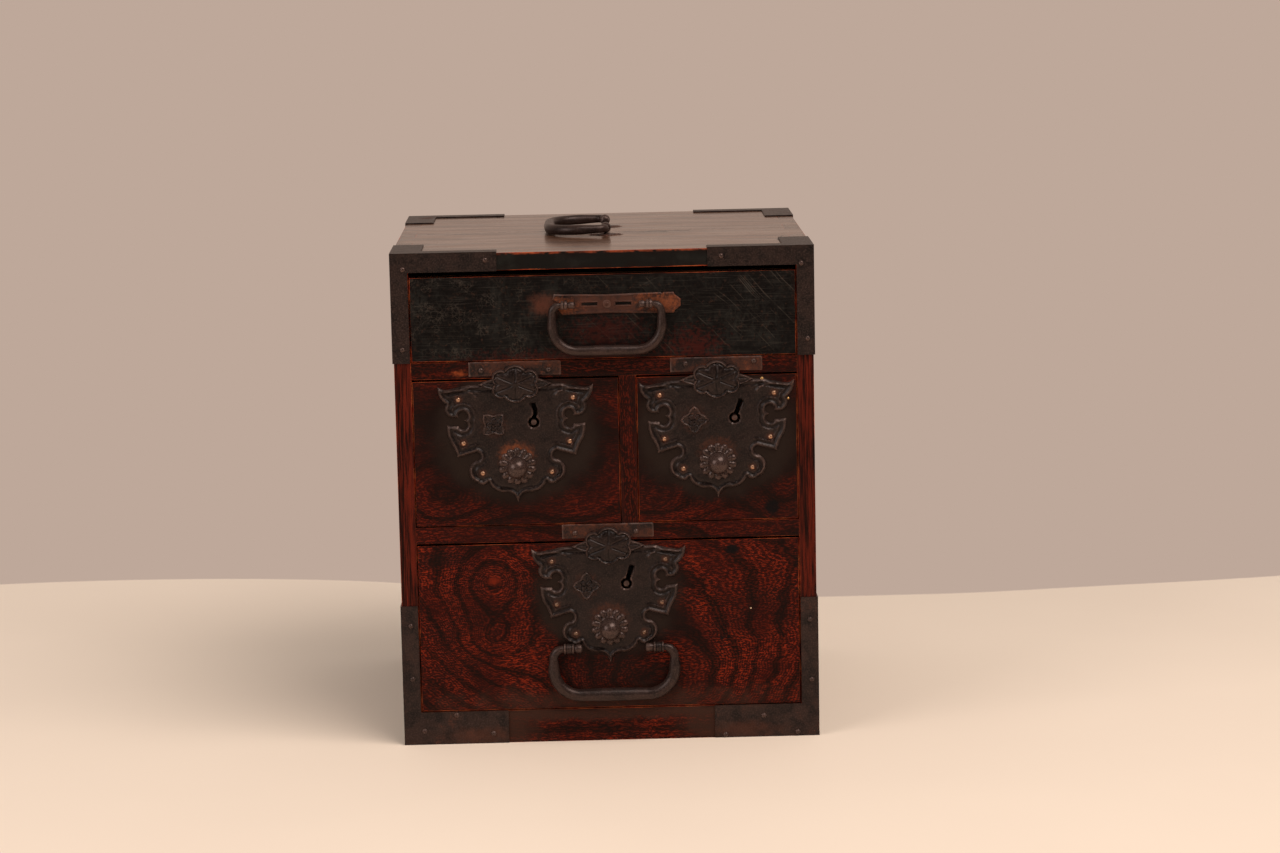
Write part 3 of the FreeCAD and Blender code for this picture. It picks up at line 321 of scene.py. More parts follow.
def finish_surface(shader, base, rough, height, bump, distance, **constants):
    feed(shader.inputs["Base Color"], base)
    feed(shader.inputs["Roughness"], rough)
    for name, value in constants.items():
        shader.inputs[name.replace("_", " ")].default_value = value
    feed(shader.inputs["Normal"], out("Bump", {"Strength": bump, "Distance": distance, "Height": height}))


# ---- wood -------------------------------------------------------------------------------------------------

# Which of the frame's axes run along the grain, across the face and into the board.
GRAIN = {"x": (0, 2, 1), "side": (2, 1, 0), "top": (0, 1, 2), "wall": (1, 2, 0)}
PORE_GAP = 0.0013       # from one row of pores to the next
SOFT_RINGS = 1300.0     # radians of softwood ring in a metre
LACQUER_GLOSS = 0.06
COAT_SHARE, COAT_ROUGHNESS = 0.62, 0.14


def grain_point(point, grain, offset=0.0):
    """The point with X along the grain, Y across the face and Z into the board."""
    axes = parts(point)
    along, across, deep = (axes[index] for index in GRAIN[grain])
    return joined(along + offset, across, deep)


def flat_depth(point, coords, slope=0.35):
    """Depth into the log of a plain sawn board."""
    along, across, deep = parts(coords)
    return along * 0.02 + deep * 0.8 + across * slope


def lacquered(name, node, grain="x", look="red", depth=flat_depth, marks=(), offset=0.0, wear=1.0,
              rough=0.3, relief=0.5, cuts=(), coat=None):
    """Lacquered keyaki for a CAD node: a colour between the rings, dashes in the pores, wear, marks."""
    made, point, shader = new_material(f"{name} {node}")
    ink, size = colours(), sizes()
    coords = grain_point(point, grain, offset)
    band, pores, fibre = keyaki_figure(coords, depth(point, coords), size.ring_gap)
    base, pores = LOOKS[look](point, coords, band, pores, fibre)
    for mark in marks:
        base = mark(point, base)
    worn, margin = edge_wear(point, *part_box(node), size.wear_reach * wear)
    base = blend(margin * ramp(noise(point, 60, 3), 0.4, 0.65, 0.0, 0.55), base, ink.smoke)
    edge = blend(ramp(noise(point, 240, 2), 0.35, 0.65), ink.worn_edge, ink.bright_pores)
    base = blend(worn, base, edge)
    smooth = ramp(noise(coords * (14, 70, 70), 1, 4, 0.6), 0.3, 0.7, rough, rough + 0.18)
    height = pores * -0.5 + (band * 0.25 + fibre * 0.35)
    for cut in cuts:
        mask = cut(point)
        base = blend(mask, base, ink.stain)
        smooth = maths("MAXIMUM", smooth, mask * 0.95)
        height = height + mask * -2.5
    finish_surface(shader, base, smooth + worn * 0.25, height, relief, 0.0003,
                   Specular_IOR_Level=LACQUER_GLOSS)
    if coat:
        feed(shader.inputs["Coat Weight"], coat(point) * COAT_SHARE)
        shader.inputs["Coat Roughness"].default_value = COAT_ROUGHNESS
    paint(frame["nodes"][node], made, size.front_round if "front" in node else size.board_round)


def red_look(point, coords, band, pores, fibre, strength=1.0, smoky=0.0):
    """Red-orange dashes on dark red, smoky brown between the rings."""
    ink = colours()
    base = blend(band, ink.red_lacquer, ink.brown_lacquer)
    pores = pores * ramp(noise(point, 33, 3), 0.3, 0.6, 0.25, strength)
    clouds = ramp(noise(point, 26, 4, 0.6), 0.42 - smoky, 0.7 - smoky)
    return blend(clouds * 0.55, blend(pores, base, ink.bright_pores), ink.smoke), pores


def dull_look(*given):
    """Dark red, most pores filled with old lacquer."""
    return red_look(*given, strength=0.55, smoky=0.06)


def dark_look(point, coords, band, pores, fibre):
    """Brown-black with a little red in it."""
    ink = colours()
    base = blend(band * 0.6, ink.brown_lacquer, ink.smoke)
    base = blend(ramp(noise(point, 30, 4, 0.65), 0.5, 0.68) * 0.7, base, ink.red_lacquer)
    pores = pores * 0.3
    return blend(pores, base, ink.bright_pores), pores


def black_look(point, coords, band, pores, fibre):
    """Black lacquer with a dry grey film, fine cracks on the left and slanted scratches on the right."""
    ink = colours()
    brushed = noise(point * (260, 60, 120), 1, 4, 0.65, 0.8)
    film = ramp(noise(point, 38, 5, 0.68, 0.6), 0.4, 0.72) * ramp(brushed, 0.35, 0.65)
    base = blend(film, ink.black_lacquer, ink.grey_film)
    base = blend(ramp(fibre, 0.5, 0.72, 0.0, 0.5), base, linear(52, 47, 42))
    base = blend(ramp(noise(point, 330, 4, 0.7), 0.56, 0.72, 0.0, 0.45), base, linear(66, 44, 34))
    x = parts(point)[0]
    crackle = cells(shaken(point, point, 210, 2, (0.010, 0.010, 0.010)), 290, "DISTANCE_TO_EDGE")
    veins = ramp(crackle, 0.02, 0.09, 1, 0) * ramp(noise(point, 95, 3), 0.46, 0.62)
    slanted, crossed = scratches(point, -0.8, 0.63)[0], scratches(point, 0.4, 0.7)[0]
    lines = veins * ramp(x, -0.05, 0.02, 1, 0.12) * 0.4 \
        + (slanted * ramp(x, -0.04, 0.05, 0.15, 0.5) + crossed * 0.25)
    return blend(lines * 0.32, base, linear(112, 98, 86)), lines * 0.4


def top_look(point, coords, band, pores, fibre):
    """Bleached grey-brown, with dark rings, fine fibre and rubbed streaks."""
    base = blend(band * 0.75, colours().grey_top, linear(56, 36, 27))
    streaks = noise(coords * (7, 160, 60), 1, 4, 0.65)
    base = blend(ramp(streaks, 0.42, 0.7, 0.0, 0.6), base, linear(58, 40, 31))
    base = blend(ramp(fibre, 0.5, 0.75, 0.0, 0.35), base, linear(122, 88, 66))
    return blend(pores * 0.55, base, linear(44, 30, 23)), pores * 0.3


LOOKS = {"red": red_look, "dull": dull_look, "dark": dark_look, "black": black_look, "top": top_look}


def patch_mark(centre, spread, ink, share=1.0, core=0.5, grain=90.0, ragged=0.8):
    """A patch of colour round a place, its centre and spread in millimetres."""
    def mark(point, base):
        mask = patch(point, Vector(centre) * MM, Vector(spread) * MM, core, grain, ragged)[0]
        return blend(mask * share, base, ink)

    return mark


def front_patches(*rows, deep=20):
    """Patches on the chest's front, each as (x, z, width, height, colour, share, core, grain, ragged)."""
    return [patch_mark((x, FRONT / MM, z), (wide, deep, tall), *rest) for x, z, wide, tall, *rest in rows]


def softwood(nodes, grain, age=0.0, boards=0.0):
    """Plain softwood with straight rings; age darkens it, boards is the height of one plank in metres.

    Where its ends come through the case's sides they are lacquered like the sides."""
    ink = colours()
    for node in nodes:
        made, point, shader = new_material(f"softwood {node}")
        coords = grain_point(point, grain)
        across = parts(coords)[1]
        plank = maths("FLOOR", across / boards) if boards else across * 0.0
        lot = joined(plank * 3.7, plank * 1.9, 0.0)
        coords = vector("ADD", coords, lot)
        warp = noise(coords * (4, 22, 22), 1, 3)
        rings = maths("SINE", (across + warp * 0.05) * SOFT_RINGS)
        late = ramp(rings, 0.0, 0.95) * ramp(warp, 0.35, 0.6, 0.35, 0.8)
        base = blend(late, ink.softwood, ink.softwood_line)
        tone = noise(lot * (2.3, 1.0, 1.0), 1.3, 0) - 0.5
        aged = ramp(noise(point, 14, 5, 0.65) + tone * 0.6, 0.3, 0.72, age, 1.0)
        base = blend(aged * 0.75, base, linear(62, 38, 25))
        base = blend(ramp(noise(point, 120, 4, 0.7), 0.6, 0.72) * 0.5, base, linear(44, 28, 20))
        fibre = noise(coords * (40, 1500, 1500), 1, 3)
        base = blend(ramp(fibre, 0.5, 0.75, 0.0, 0.3), base, linear(70, 46, 30))
        rough = ramp(fibre, 0.3, 0.7, 0.55, 0.75)
        finish_surface(shader, lacquered_tabs(point, base), rough, fibre + late, 0.4, 0.0002,
                       Specular_IOR_Level=0.25)
        paint(frame["nodes"][node], made, sizes().board_round * 0.6)


ROUNDED_FROM = math.radians(50)     # edges with a sharper bend are rounded


def paint(piece, material, rounding):
    """Give a CAD node its one material, and rounded edges."""
    piece.data.materials.clear()
    piece.data.materials.append(material)
    for face in piece.data.polygons:
        face.material_index = 0
    bevel = piece.modifiers.new("rounded edges", "BEVEL")
    bevel.width = rounding
    bevel.segments = 3
    bevel.limit_method = "ANGLE"
    bevel.angle_limit = ROUNDED_FROM
    bevel.harden_normals = True


# ---- iron -------------------------------------------------------------------------------------------------

# worked turns on the painted highlight on ridges and the painted shade in creases.
def iron_material(name, rusty=0.0, pale=0.4, dents=1.0, marks=(), rough=0.42, worked=True,
                  tone=0.0, rub=0.0):
    """Old forged iron: brown-black and mottled, rubbed pale with a painted highlight on ridges, painted shade
    in creases, with rust.
    """
    if name in bpy.data.materials:
        return bpy.data.materials[name]
    made, point, shader = new_material(name)
    ink = colours()
    mottle, speckle, rust, bright, height = forged_surface(point, rusty)
    base = blend(ramp(mottle, 0.38, 0.6), ink.iron_dark, ink.iron)
    base = blend(tone, base, ink.iron_dark)
    base = blend(ramp(speckle, 0.2, 0.7, rub * 0.7, rub), base, ink.iron_pale)
    ridge_line = Value(add_node(point.tree, "NewGeometry").outputs["Pointiness"])
    rubbed = ramp(speckle, 0.42, 0.75) * (pale * 0.5)
    # Painted highlight: ridges and tips, found by pointiness, are blended towards pale iron.
    if worked:
        rubbed = rubbed + ramp(ridge_line, 0.515, 0.6) * ramp(mottle, 0.3, 0.6, 0.2, 0.85)
    base = blend(rubbed, base, ink.iron_pale)
    base = blend(rust * 0.7, base, ink.rust)
    base = blend(bright * 0.6, base, ink.rust_bright)
    for mark in marks:
        base = mark(point, base)
    # Painted shade: creases and grooves, found by pointiness, are blended towards dark iron.
    if worked:
        base = blend(ramp(ridge_line, 0.44, 0.49, 0.75, 0.0), base, ink.iron_dark)
    dull = ramp(speckle, 0.3, 0.7, rough - 0.06, rough + 0.1) + rust * 0.3
    finish_surface(shader, base, dull, height, 0.5 * dents, 0.0004, Metallic=0.45, Specular_IOR_Level=0.32)
    return made


def metal_material(name, levels, rough=0.32):
    """Bright nail metal with tarnish."""
    if name in bpy.data.materials:
        return bpy.data.materials[name]
    made, point, shader = new_material(name)
    tarnish = ramp(noise(point, 700, 3, 0.6), 0.42, 0.7)
    base = blend(tarnish * 0.5, levels, linear(84, 48, 32))
    finish_surface(shader, base, ramp(tarnish, 0, 1, rough, 0.6), tarnish, 0.3, 0.0002, Metallic=0.9)
    return made


# ---- mesh code --------------------------------------------------------------------------------------------

BATCH = 2000                # points measured at a time
TINY, STRAIGHT = 1e-18, 1e-9
SHARP = math.radians(38)    # edges with a sharper bend are not smoothed


def ridge(distance, at, wide, high):
    """A ridge with soft sides at a distance; a groove where high is negative."""
    return high * np.exp(-((distance - at) / wide) ** 2)


def polar(radius, angle):
    return radius * math.cos(angle), radius * math.sin(angle)


def eased(value, start, reach):
    """From 0 to 1 over a reach from the start."""
    return np.clip((value - start) / reach, 0, 1)


def rounded(edge, reach, low=0.0):
    """The rounding of a sheet's rim: low at the edge, 1 at the reach and beyond."""
    return low + (1 - low) * np.sqrt(1 - (1 - np.clip(edge / reach, 0, 1)) ** 2)


def arc(first, middle, last, pitch):
    """Points after first along the arc through middle to last."""
    (ax, ay), (bx, by), (cx, cy) = first, middle, last
    twice = 2 * (ax * (by - cy) + bx * (cy - ay) + cx * (ay - by))
    if abs(twice) < STRAIGHT:
        return [last]
    a, b, c = ax * ax + ay * ay, bx * bx + by * by, cx * cx + cy * cy
    x = (a * (by - cy) + b * (cy - ay) + c * (ay - by)) / twice
    y = (a * (cx - bx) + b * (ax - cx) + c * (bx - ax)) / twice
    start, mid, end = (math.atan2(v - y, u - x) for u, v in (first, middle, last))
    sweep, half = (end - start) % TURN, (mid - start) % TURN
    if half > sweep:
        sweep -= TURN
    radius = math.dist(first, (x, y))
    count = max(2, math.ceil(abs(sweep) * radius / pitch))
    offsets = (polar(radius, start + sweep * n / count) for n in range(1, count + 1))
    return [(x + u, y + v) for u, v in offsets]


def path(start, steps, pitch):
    """Points of an open outline: two numbers are a line's end, four are an arc by its middle and end."""
    points = [start]
    for step in steps:
        here = points[-1]
        if len(step) == 4:
            points += arc(here, step[:2], step[2:], pitch)
            continue
        count = max(1, math.ceil(math.dist(here, step) / pitch))
        points += [(here[0] + (step[0] - here[0]) * n / count, here[1] + (step[1] - here[1]) * n / count)
                   for n in range(1, count + 1)]
    return points


def drawn(start, steps, pitch):
    """Points of a closed outline, its first point not repeated."""
    return path(start, steps, pitch)[:-1]


def segments_of(loops):
    starts, ends = [], []
    for loop in loops:
        starts += loop
        ends += loop[1:] + loop[:1]
    return np.array(starts), np.array(ends)


def to_lines(points, starts, ends):
    """Distance of each point from the nearest of some segments."""
    best = []
    along = ends - starts
    squares = np.maximum((along ** 2).sum(1), TINY)
    for some in np.array_split(points, math.ceil(len(points) / BATCH)):
        rel = some[:, None, :] - starts[None]
        share = np.clip((rel * along).sum(2) / squares, 0, 1)
        gap = rel - share[..., None] * along
        best.append(np.sqrt((gap ** 2).sum(2).min(1)))
    return np.concatenate(best)


def inside(points, starts, ends):
    """Which points lie inside the closed outlines, holes left out."""
    crossings = np.zeros(len(points), int)
    for (x1, y1), (x2, y2) in zip(starts, ends):
        if y1 == y2:
            continue
        spans = (points[:, 1] >= min(y1, y2)) & (points[:, 1] < max(y1, y2))
        x = x1 + (points[:, 1] - y1) * (x2 - x1) / (y2 - y1)
        crossings += spans & (points[:, 0] < x)
    return crossings % 2 == 1


def sheet_mesh(outline, holes, pitch, lift):
    """A sheet with a worked face, from (x, z) outlines in millimetres.

    lift(points, edge) says how far each point stands out, with its distance from the nearest edge."""
    loops = [outline] + list(holes)
    starts, ends = segments_of(loops)
    low, high = starts.min(0), starts.max(0)
    rows = np.arange(low[1], high[1], pitch * math.sqrt(0.75))
    grid = np.array([(x + pitch / 2 * (row % 2), z) for row, z in enumerate(rows)
                     for x in np.arange(low[0], high[0] + pitch, pitch)])
    grid = grid[inside(grid, starts, ends)]
    grid = grid[to_lines(grid, starts, ends) > pitch * 0.55]
    rim, links = [], []
    for loop in loops:
        first = len(rim)
        rim += loop
        links += [(first + n, first + (n + 1) % len(loop)) for n in range(len(loop))]
    flat = [Vector(p) for p in rim] + [Vector(p) for p in grid]
    points, _, faces = geometry.delaunay_2d_cdt(flat, links, [], 0, 1e-5)[:3]
    points, faces = np.array([tuple(p) for p in points]), np.array(faces)
    faces = faces[inside(points[faces].mean(1), starts, ends)]
    height = lift(points, to_lines(points, starts, ends))
    count = len(points)
    verts = np.zeros((2 * count, 3))
    verts[:count, 0] = verts[count:, 0] = points[:, 0]
    verts[:count, 2] = verts[count:, 2] = points[:, 1]
    verts[:count, 1] = -height
    around = dict.fromkeys(pair for a, b, c in faces for pair in ((a, b), (b, c), (c, a)))
    sides = [(b, a, a + count, b + count) for a, b in around if (b, a) not in around]
    back = [(c + count, b + count, a + count) for a, b, c in faces]
    return verts * MM, [tuple(f) for f in faces] + back + sides


def add_object(name, data):
    made = bpy.data.objects.new(name, data)
    bpy.context.scene.collection.objects.link(made)
    return made


def new_piece(name, sections, material, body, node=None):
    """One object from (verts, faces) sections in metres; it rides on a body and may stand for a CAD node."""
    work = bmesh.new()
    for verts, faces in sections:
        corners = [work.verts.new(v) for v in verts]
        for face in faces:
            work.faces.new([corners[index] for index in face])
    bmesh.ops.delete(work, geom=[v for v in work.verts if not v.link_faces], context="VERTS")
    bmesh.ops.recalc_face_normals(work, faces=work.faces)
    mesh = bpy.data.meshes.new(name)
    work.to_mesh(mesh)
    work.free()
    mesh.shade_smooth()
    mesh.set_sharp_from_angle(angle=SHARP)
    mesh.materials.append(material)
    piece = add_object(name, mesh)
    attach(piece, body)
    if node:
        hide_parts(node)


def moved(section, matrix):
    verts, faces = section
    return [matrix @ Vector(v) for v in verts], faces


def shift(x, y, z):
    """A move in millimetres."""
    return Matrix.Translation(Vector((x, y, z)) * MM)


def rings_mesh(rings, closed=True):
    """Skin from rings of equally many points; the ends are closed with caps."""
    count = len(rings[0])
    verts = [tuple(p) for ring in rings for p in ring]
    faces = []
    for n in range(0, len(verts) - count, count):
        for k in range(count):
            a, b = n + k, n + (k + 1) % count
            faces.append((a, b, b + count, a + count))
    if closed:
        faces += [range(count)[::-1], range(len(verts) - count, len(verts))]
    return verts, faces


def turned_rings(profile, steps):
    """Rings round +Z from a profile of (radius, height) in millimetres."""
    return [[(*polar(r * MM, TURN * k / steps), h * MM) for k in range(steps)] for r, h in profile]


def turned_mesh(profile, steps):
    """A turned solid piece."""
    return rings_mesh(turned_rings(profile, steps))


def ring_mesh(profile, steps=32):
    """A turned ring; its profile is a closed loop."""
    verts, faces = rings_mesh(turned_rings(profile, steps), closed=False)
    last = (len(profile) - 1) * steps
    return verts, faces + [(last + k, last + (k + 1) % steps, (k + 1) % steps, k) for k in range(steps)]


# The waves of forged unevenness: their rates along X and Y, their start and what they are divided by.
WAVES = ((1.7, 0.9, 0.0, 2.4), (-1.3, 2.9, 1.1, 2.4), (4.1, 2.3, 0.0, 4.8), (-5.9, 7.3, 2.0, 7.2))


def wobble(points, size, amount, seed=0.0):
    """Slow unevenness for hand-forged pieces: the same on each run."""
    x, y = points[:, 0] / size + seed, points[:, 1] / size - seed
    return amount * sum(np.sin(across * x + up * y + late) / part for across, up, late, part in WAVES)


FRONT_OUT = Matrix.Rotation(math.radians(90), 4, "X")   # an axis along +Z turned to -Y
NAIL_STEPS = 14
NAIL_DOME = ((0.93, 0.4), (0.74, 0.74), (0.45, 0.94), (0.14, 1))    # shares of its radius and rise


def nail_mesh(x, y, z, width, rise):
    """A domed nail head with its rim on a face at (x, y, z) in millimetres."""
    radius = width / 2
    profile = [(radius * 0.98, -0.3), (radius, 0.04), *((radius * out, rise * up) for out, up in NAIL_DOME)]
    return moved(turned_mesh(profile, NAIL_STEPS), shift(x, y, z) @ FRONT_OUT)


# ---- locks ------------------------------------------------------------------------------------------------
# Sheet pieces of a lock are drawn in millimetres from the plate's middle and the drawer's top edge.

PLATE_START = (0.0, -2.9)
PLATE_HALF = (
    (33.0, -2.9), (48.3, -5.9), (52.2, -5.6, 55.5, -3.9), (54.4, -10.8, 49.9, -16.5),
    (50.2, -22.6, 44.6, -26.4), (41.2, -26.0), (36.1, -22.3, 37.2, -28.4), (35.7, -33.6, 41.2, -32.6),
    (49.5, -31.9), (49.0, -39.5, 45.9, -46.0), (44.0, -50.5, 42.6, -55.0), (35.5, -53.4, 28.6, -51.4),
    (26.0, -54.4, 29.6, -57.9), (34.6, -66.0, 28.6, -74.2), (24.6, -75.4, 20.8, -73.4),
    (15.8, -79.4, 8.8, -81.2), (3.0, -83.4, 0.0, -88.6))
PLATE_TOP = 2.9
PLATE_SHEET = 1.2
# The right wing's embossed leaf and the crease above the tip, as open lines; the left half mirrors them.
WING_LEAF = ((50.5, -7.5), (45.5, -6.6, 39.5, -6.6), (33.0, -7.6, 28.6, -11.3))
LOBE_CURL = ((30.5, -57.2), (33.2, -65.6, 28.4, -71.8))
TIP_CREASE = ((12.5, -77.6), (4.6, -79.6, 0.0, -85.4))
KEY_AT = (12.6, -30.8)
KEY_BORE, KEY_SLOT, KEY_REACH = 7.9, 3.2, 14.0
# Lean of each keyhole's slot in degrees, how far a bent slot steps aside, and the turn of its crest.
LOCK_WAYS = {"left": (3, 1.1, 0), "right": (20, 0, 45), "bottom": (17.5, 0, 45)}
PLATE_NAILS = ((41.0, -13.2), (38.0, -45.0), (24.8, -67.0))


def centre_of(node):
    low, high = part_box(node)
    return (low + high) / 2 / MM


def plate_at(lock):
    """The plate's middle on the drawer's top edge and the drawer's face, in millimetres."""
    low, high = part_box(f"{lock}_lock_plate")
    return (low.x + high.x) / 2 / MM, high.y / MM, high.z / MM + PLATE_TOP


def keyhole(lock, pitch):
    """A round hole with a leaning slot over it."""
    lean, step, _ = LOCK_WAYS[lock]
    up, radius, half = math.radians(90 - lean), KEY_BORE / 2, KEY_SLOT / 2
    gap = math.asin(half / radius)
    count = math.ceil(TURN * radius / pitch)
    ring = [up + gap + (TURN - 2 * gap) * n / count for n in range(count + 1)]
    points = [(KEY_AT[0] + x, KEY_AT[1] + z) for x, z in (polar(radius, angle) for angle in ring)]
    c, s = polar(1, up)
    ways = [(0.42, 1, step), (0.62, 1, step * 0.8), (1, 1, -step), (1, -1, -step), (0.62, -1, step * 0.8),
            (0.42, -1, step)]
    for share, side, aside in ways:
        along, across = KEY_REACH * share, half * side + aside
        points.append((KEY_AT[0] + along * c + across * s, KEY_AT[1] + along * s - across * c))
    return points


def both_sides(line, pitch):
    """An open line of the right half and its mirror image, as segment starts and ends."""
    points = path(line[0], line[1:], pitch)
    starts, ends = [], []
    for side in (1, -1):
        sided = [(side * x, z) for x, z in points]
        starts += sided[:-1]
        ends += sided[1:]
    return np.array(starts), np.array(ends)


def plate_lift(outline):
    """Relief of a lock plate: a rounded rim, a ridge inside it, leaves in the wings, worn unevenness."""
    rim = segments_of([outline])
    leaf, curl, crease = (both_sides(line, 1.0) for line in (WING_LEAF, LOBE_CURL, TIP_CREASE))

    def lift(points, edge):
        border = to_lines(points, *rim)
        relief = ridge(border, at=1.7, wide=0.8, high=0.8) + ridge(border, at=3.7, wide=0.9, high=-0.5)
        relief += ridge(border, at=5.3, wide=0.6, high=0.6) * eased(np.abs(points[:, 0]), start=24, reach=6)
        for line, wide, high in ((leaf, 1.0, 1.1), (curl, 1.0, 0.9), (crease, 0.7, 0.6)):
            relief += ridge(to_lines(points, *line), 0, wide, high)
        worn = np.minimum(0, wobble(points, 6.5, 0.14) + wobble(points, 2.1, 0.05, 3.0) - 0.04)
        return PLATE_SHEET * rounded(edge, 0.8, 0.35) + relief * rounded(edge, 0.8) + worn

    return lift


def make_lock_plates():
    pitch = sizes().plate_pitch / MM
    half = path(PLATE_START, PLATE_HALF, pitch)
    outline = half + [(-x, z) for x, z in reversed(half[1:-1])]
    lift = plate_lift(outline)
    for lock in LOCKS:
        x, y, z = plate_at(lock)
        halo = [rust_halo(place) for place in plate_nail_places(lock)]
        knob_at, crest_at = centre_of(f"{lock}_knob"), centre_of(f"{lock}_lock_crest")
        halo.append(rust_halo((knob_at.x, y, knob_at.z + 7), (17, 20, 14), 0.75))
        if lock == "left":
            halo.append(patch_mark((knob_at.x, y, knob_at.z + 8), (15.5, 20, 10.5), colours().rust_bright,
                                   0.8, 0.3, 300.0, 1.2))
        halo.append(rust_halo((crest_at.x, y, crest_at.z), (12, 20, 12), 0.45))
        material = iron_material(f"lock plate {lock}", rusty=-0.05, pale=0.4, dents=1.5, marks=halo,
                                 rough=0.36, tone=0.7)
        sheet = sheet_mesh(outline, [keyhole(lock, pitch)], pitch, lift)
        new_piece(f"{lock}_plate", [moved(sheet, shift(x, y, z))], material, f"{lock}_drawer",
                  f"{lock}_lock_plate")


def plate_nail_places(lock):
    x, y, z = plate_at(lock)
    return [(x + side * across, y, z + down) for across, down in PLATE_NAILS for side in (-1, 1)]


def rust_halo(centre, spread=(4.2, 20, 4.2), share=0.6):
    return patch_mark(centre, spread, colours().rust, share, 0.1, 500.0, 1.1)


def make_plate_nails():
    copper = metal_material("copper nails", colours().copper)
    tarnished = metal_material("tarnished nails", linear(136, 106, 88), 0.34)
    brass = metal_material("brass nails", colours().brass, 0.25)
    for lock, metal in (("left", copper), ("right", copper), ("bottom", tarnished)):
        heads = [nail_mesh(x, y - PLATE_SHEET, z, sizes().nail / MM, 1.35)
                 for x, y, z in plate_nail_places(lock)]
        new_piece(f"{lock}_plate_nails", heads, metal, f"{lock}_drawer")
    x, y, z = plate_at("right")
    new_piece("right_spare_nails", [nail_mesh(x + 32.6, y, z - 3.1, 3.0, 1.0),
                                    nail_mesh(x + 51.2, y, z - 17.6, 2.0, 0.7)], brass, "right_drawer")


PETALS = 6
SIXTH = TURN / PETALS
PETAL_CUSP = 0.83       # where two petals meet, as a share of their reach
BOSS = (18.6, 13.9)
BOSS_RIM, BOSS_RISE = 1.6, 1.8
LEAF_TIP, LEAF_HALF = 26.3, 5.6


def boss_sheets(pitch):
    """Domed hexafoil with ribs, creases and rolled rims, over two pointed leaves."""
    def on_oval(petal, share=1.0):
        x, z = polar(share, petal * SIXTH)
        return BOSS[0] * x, BOSS[1] * z

    petals = drawn(on_oval(0, PETAL_CUSP),
                   [(*on_oval(n + 0.5), *on_oval(n + 1, PETAL_CUSP)) for n in range(PETALS)], pitch)
    belly, rise = LEAF_TIP * 0.72, LEAF_HALF * 0.55
    leaves = drawn((-LEAF_TIP, 0), [(-belly, rise, 0, LEAF_HALF), (belly, rise, LEAF_TIP, 0),
                                    (belly, -rise, 0, -LEAF_HALF), (-belly, -rise, -LEAF_TIP, 0)], pitch)

    def flower(points, edge):
        x, z = points[:, 0] / BOSS[0], points[:, 1] / BOSS[1]
        reach, turn = np.hypot(x, z), np.arctan2(z, x)
        from_cusp = np.abs((turn + SIXTH / 2) % SIXTH - SIXTH / 2) * reach * BOSS[1]
        from_rib = np.abs(turn % SIXTH - SIXTH / 2) * reach * BOSS[1]
        rise = BOSS_RIM + BOSS_RISE * np.clip(1 - reach ** 2, 0, 1)
        rise += ridge(from_cusp, at=0, wide=0.7, high=-0.75) * eased(reach, 0.45, 0.3)
        along_rib = eased(reach, 0.08, 0.1) * eased(-reach, -0.93, 0.1)
        rise += ridge(from_rib, at=0, wide=0.5, high=-0.8) * along_rib
        rise += 0.07 * np.cos(from_rib * 3.6) * eased(reach, 0.5, 0.2)
        rise += ridge(edge, at=1.1, wide=0.5, high=0.85) + ridge(edge, at=2.4, wide=0.6, high=-0.5)
        return rise * rounded(edge, 0.8, 0.4) + wobble(points, 3.0, 0.06)

    def leaf(points, edge):
        rise = BOSS_RIM - 0.2 + ridge(points[:, 1], at=0, wide=0.5, high=0.5)
        rise += ridge(edge, at=0.7, wide=0.35, high=0.6)
        return rise * rounded(edge, 0.6, 0.4)

    return [sheet_mesh(petals, [], pitch, flower), sheet_mesh(leaves, [], pitch, leaf)]


def make_bosses():
    sheets = boss_sheets(sizes().small_pitch / MM)
    material = iron_material("flower boss", rusty=-0.1, pale=0.4, dents=0.2, rough=0.34, tone=0.6)
    for lock in LOCKS:
        at, seat = centre_of(f"{lock}_lock_boss"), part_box(f"{lock}_lock_boss")[1].y / MM
        place = shift(at.x, seat, at.z)
        new_piece(f"{lock}_boss", [moved(sheet, place) for sheet in sheets], material, f"{lock}_drawer",
                  f"{lock}_lock_boss")


CREST_HALF, CREST_SHEET = 7.3, 1.4


def crest_sheet(pitch):
    """A square crest with notched sides and an engraved four-petalled diamond flower."""
    out, notch = CREST_HALF + 0.45, CREST_HALF - 0.75
    side = ((out, -CREST_HALF / 2), (notch, 0), (out, CREST_HALF / 2), (CREST_HALF, CREST_HALF))
    steps = []
    for quarter in range(4):
        c, s = polar(1, TURN / 4 * quarter)
        steps += [(x * c - z * s, x * s + z * c) for x, z in side]

    def lift(points, edge):
        x, z = points[:, 0], points[:, 1]
        reach, turn = np.hypot(x, z), np.arctan2(z, x)
        petal = 4.9 * np.abs(np.cos(2 * turn)) ** 0.6
        rise = CREST_SHEET - 0.25 + ridge(reach - petal, at=0, wide=0.42, high=-0.6)
        rise += ridge(reach, at=0, wide=1.1, high=0.25) + ridge(edge, at=0.8, wide=0.4, high=0.6)
        rise += ridge(np.minimum(np.abs(x - z), np.abs(x + z)), at=0, wide=0.3, high=-0.45)
        return rise * rounded(edge, 0.6, 0.4) + np.minimum(0, wobble(points, 2.0, 0.08))

    return sheet_mesh(drawn((CREST_HALF, -CREST_HALF), steps, pitch), [], pitch, lift)


def make_crests():
    sheet = crest_sheet(sizes().small_pitch / MM)
    pin = turned_mesh([(1.5, -0.5), (1.5, 7.2), (1.2, 7.6)], 20)
    material = iron_material("crest", pale=0.5, dents=0.25, rough=0.36, tone=0.5)
    for lock in LOCKS:
        node = f"{lock}_lock_crest"
        at, front = centre_of(node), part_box(node)[0].y / MM
        place = shift(at.x, front + CREST_SHEET, at.z)
        turn = Matrix.Rotation(math.radians(LOCK_WAYS[lock][2]), 4, "Y")
        sections = [moved(sheet, place @ turn), moved(pin, place @ FRONT_OUT.inverted())]
        new_piece(f"{lock}_crest_plate", sections, material, f"{lock}_crest", node)


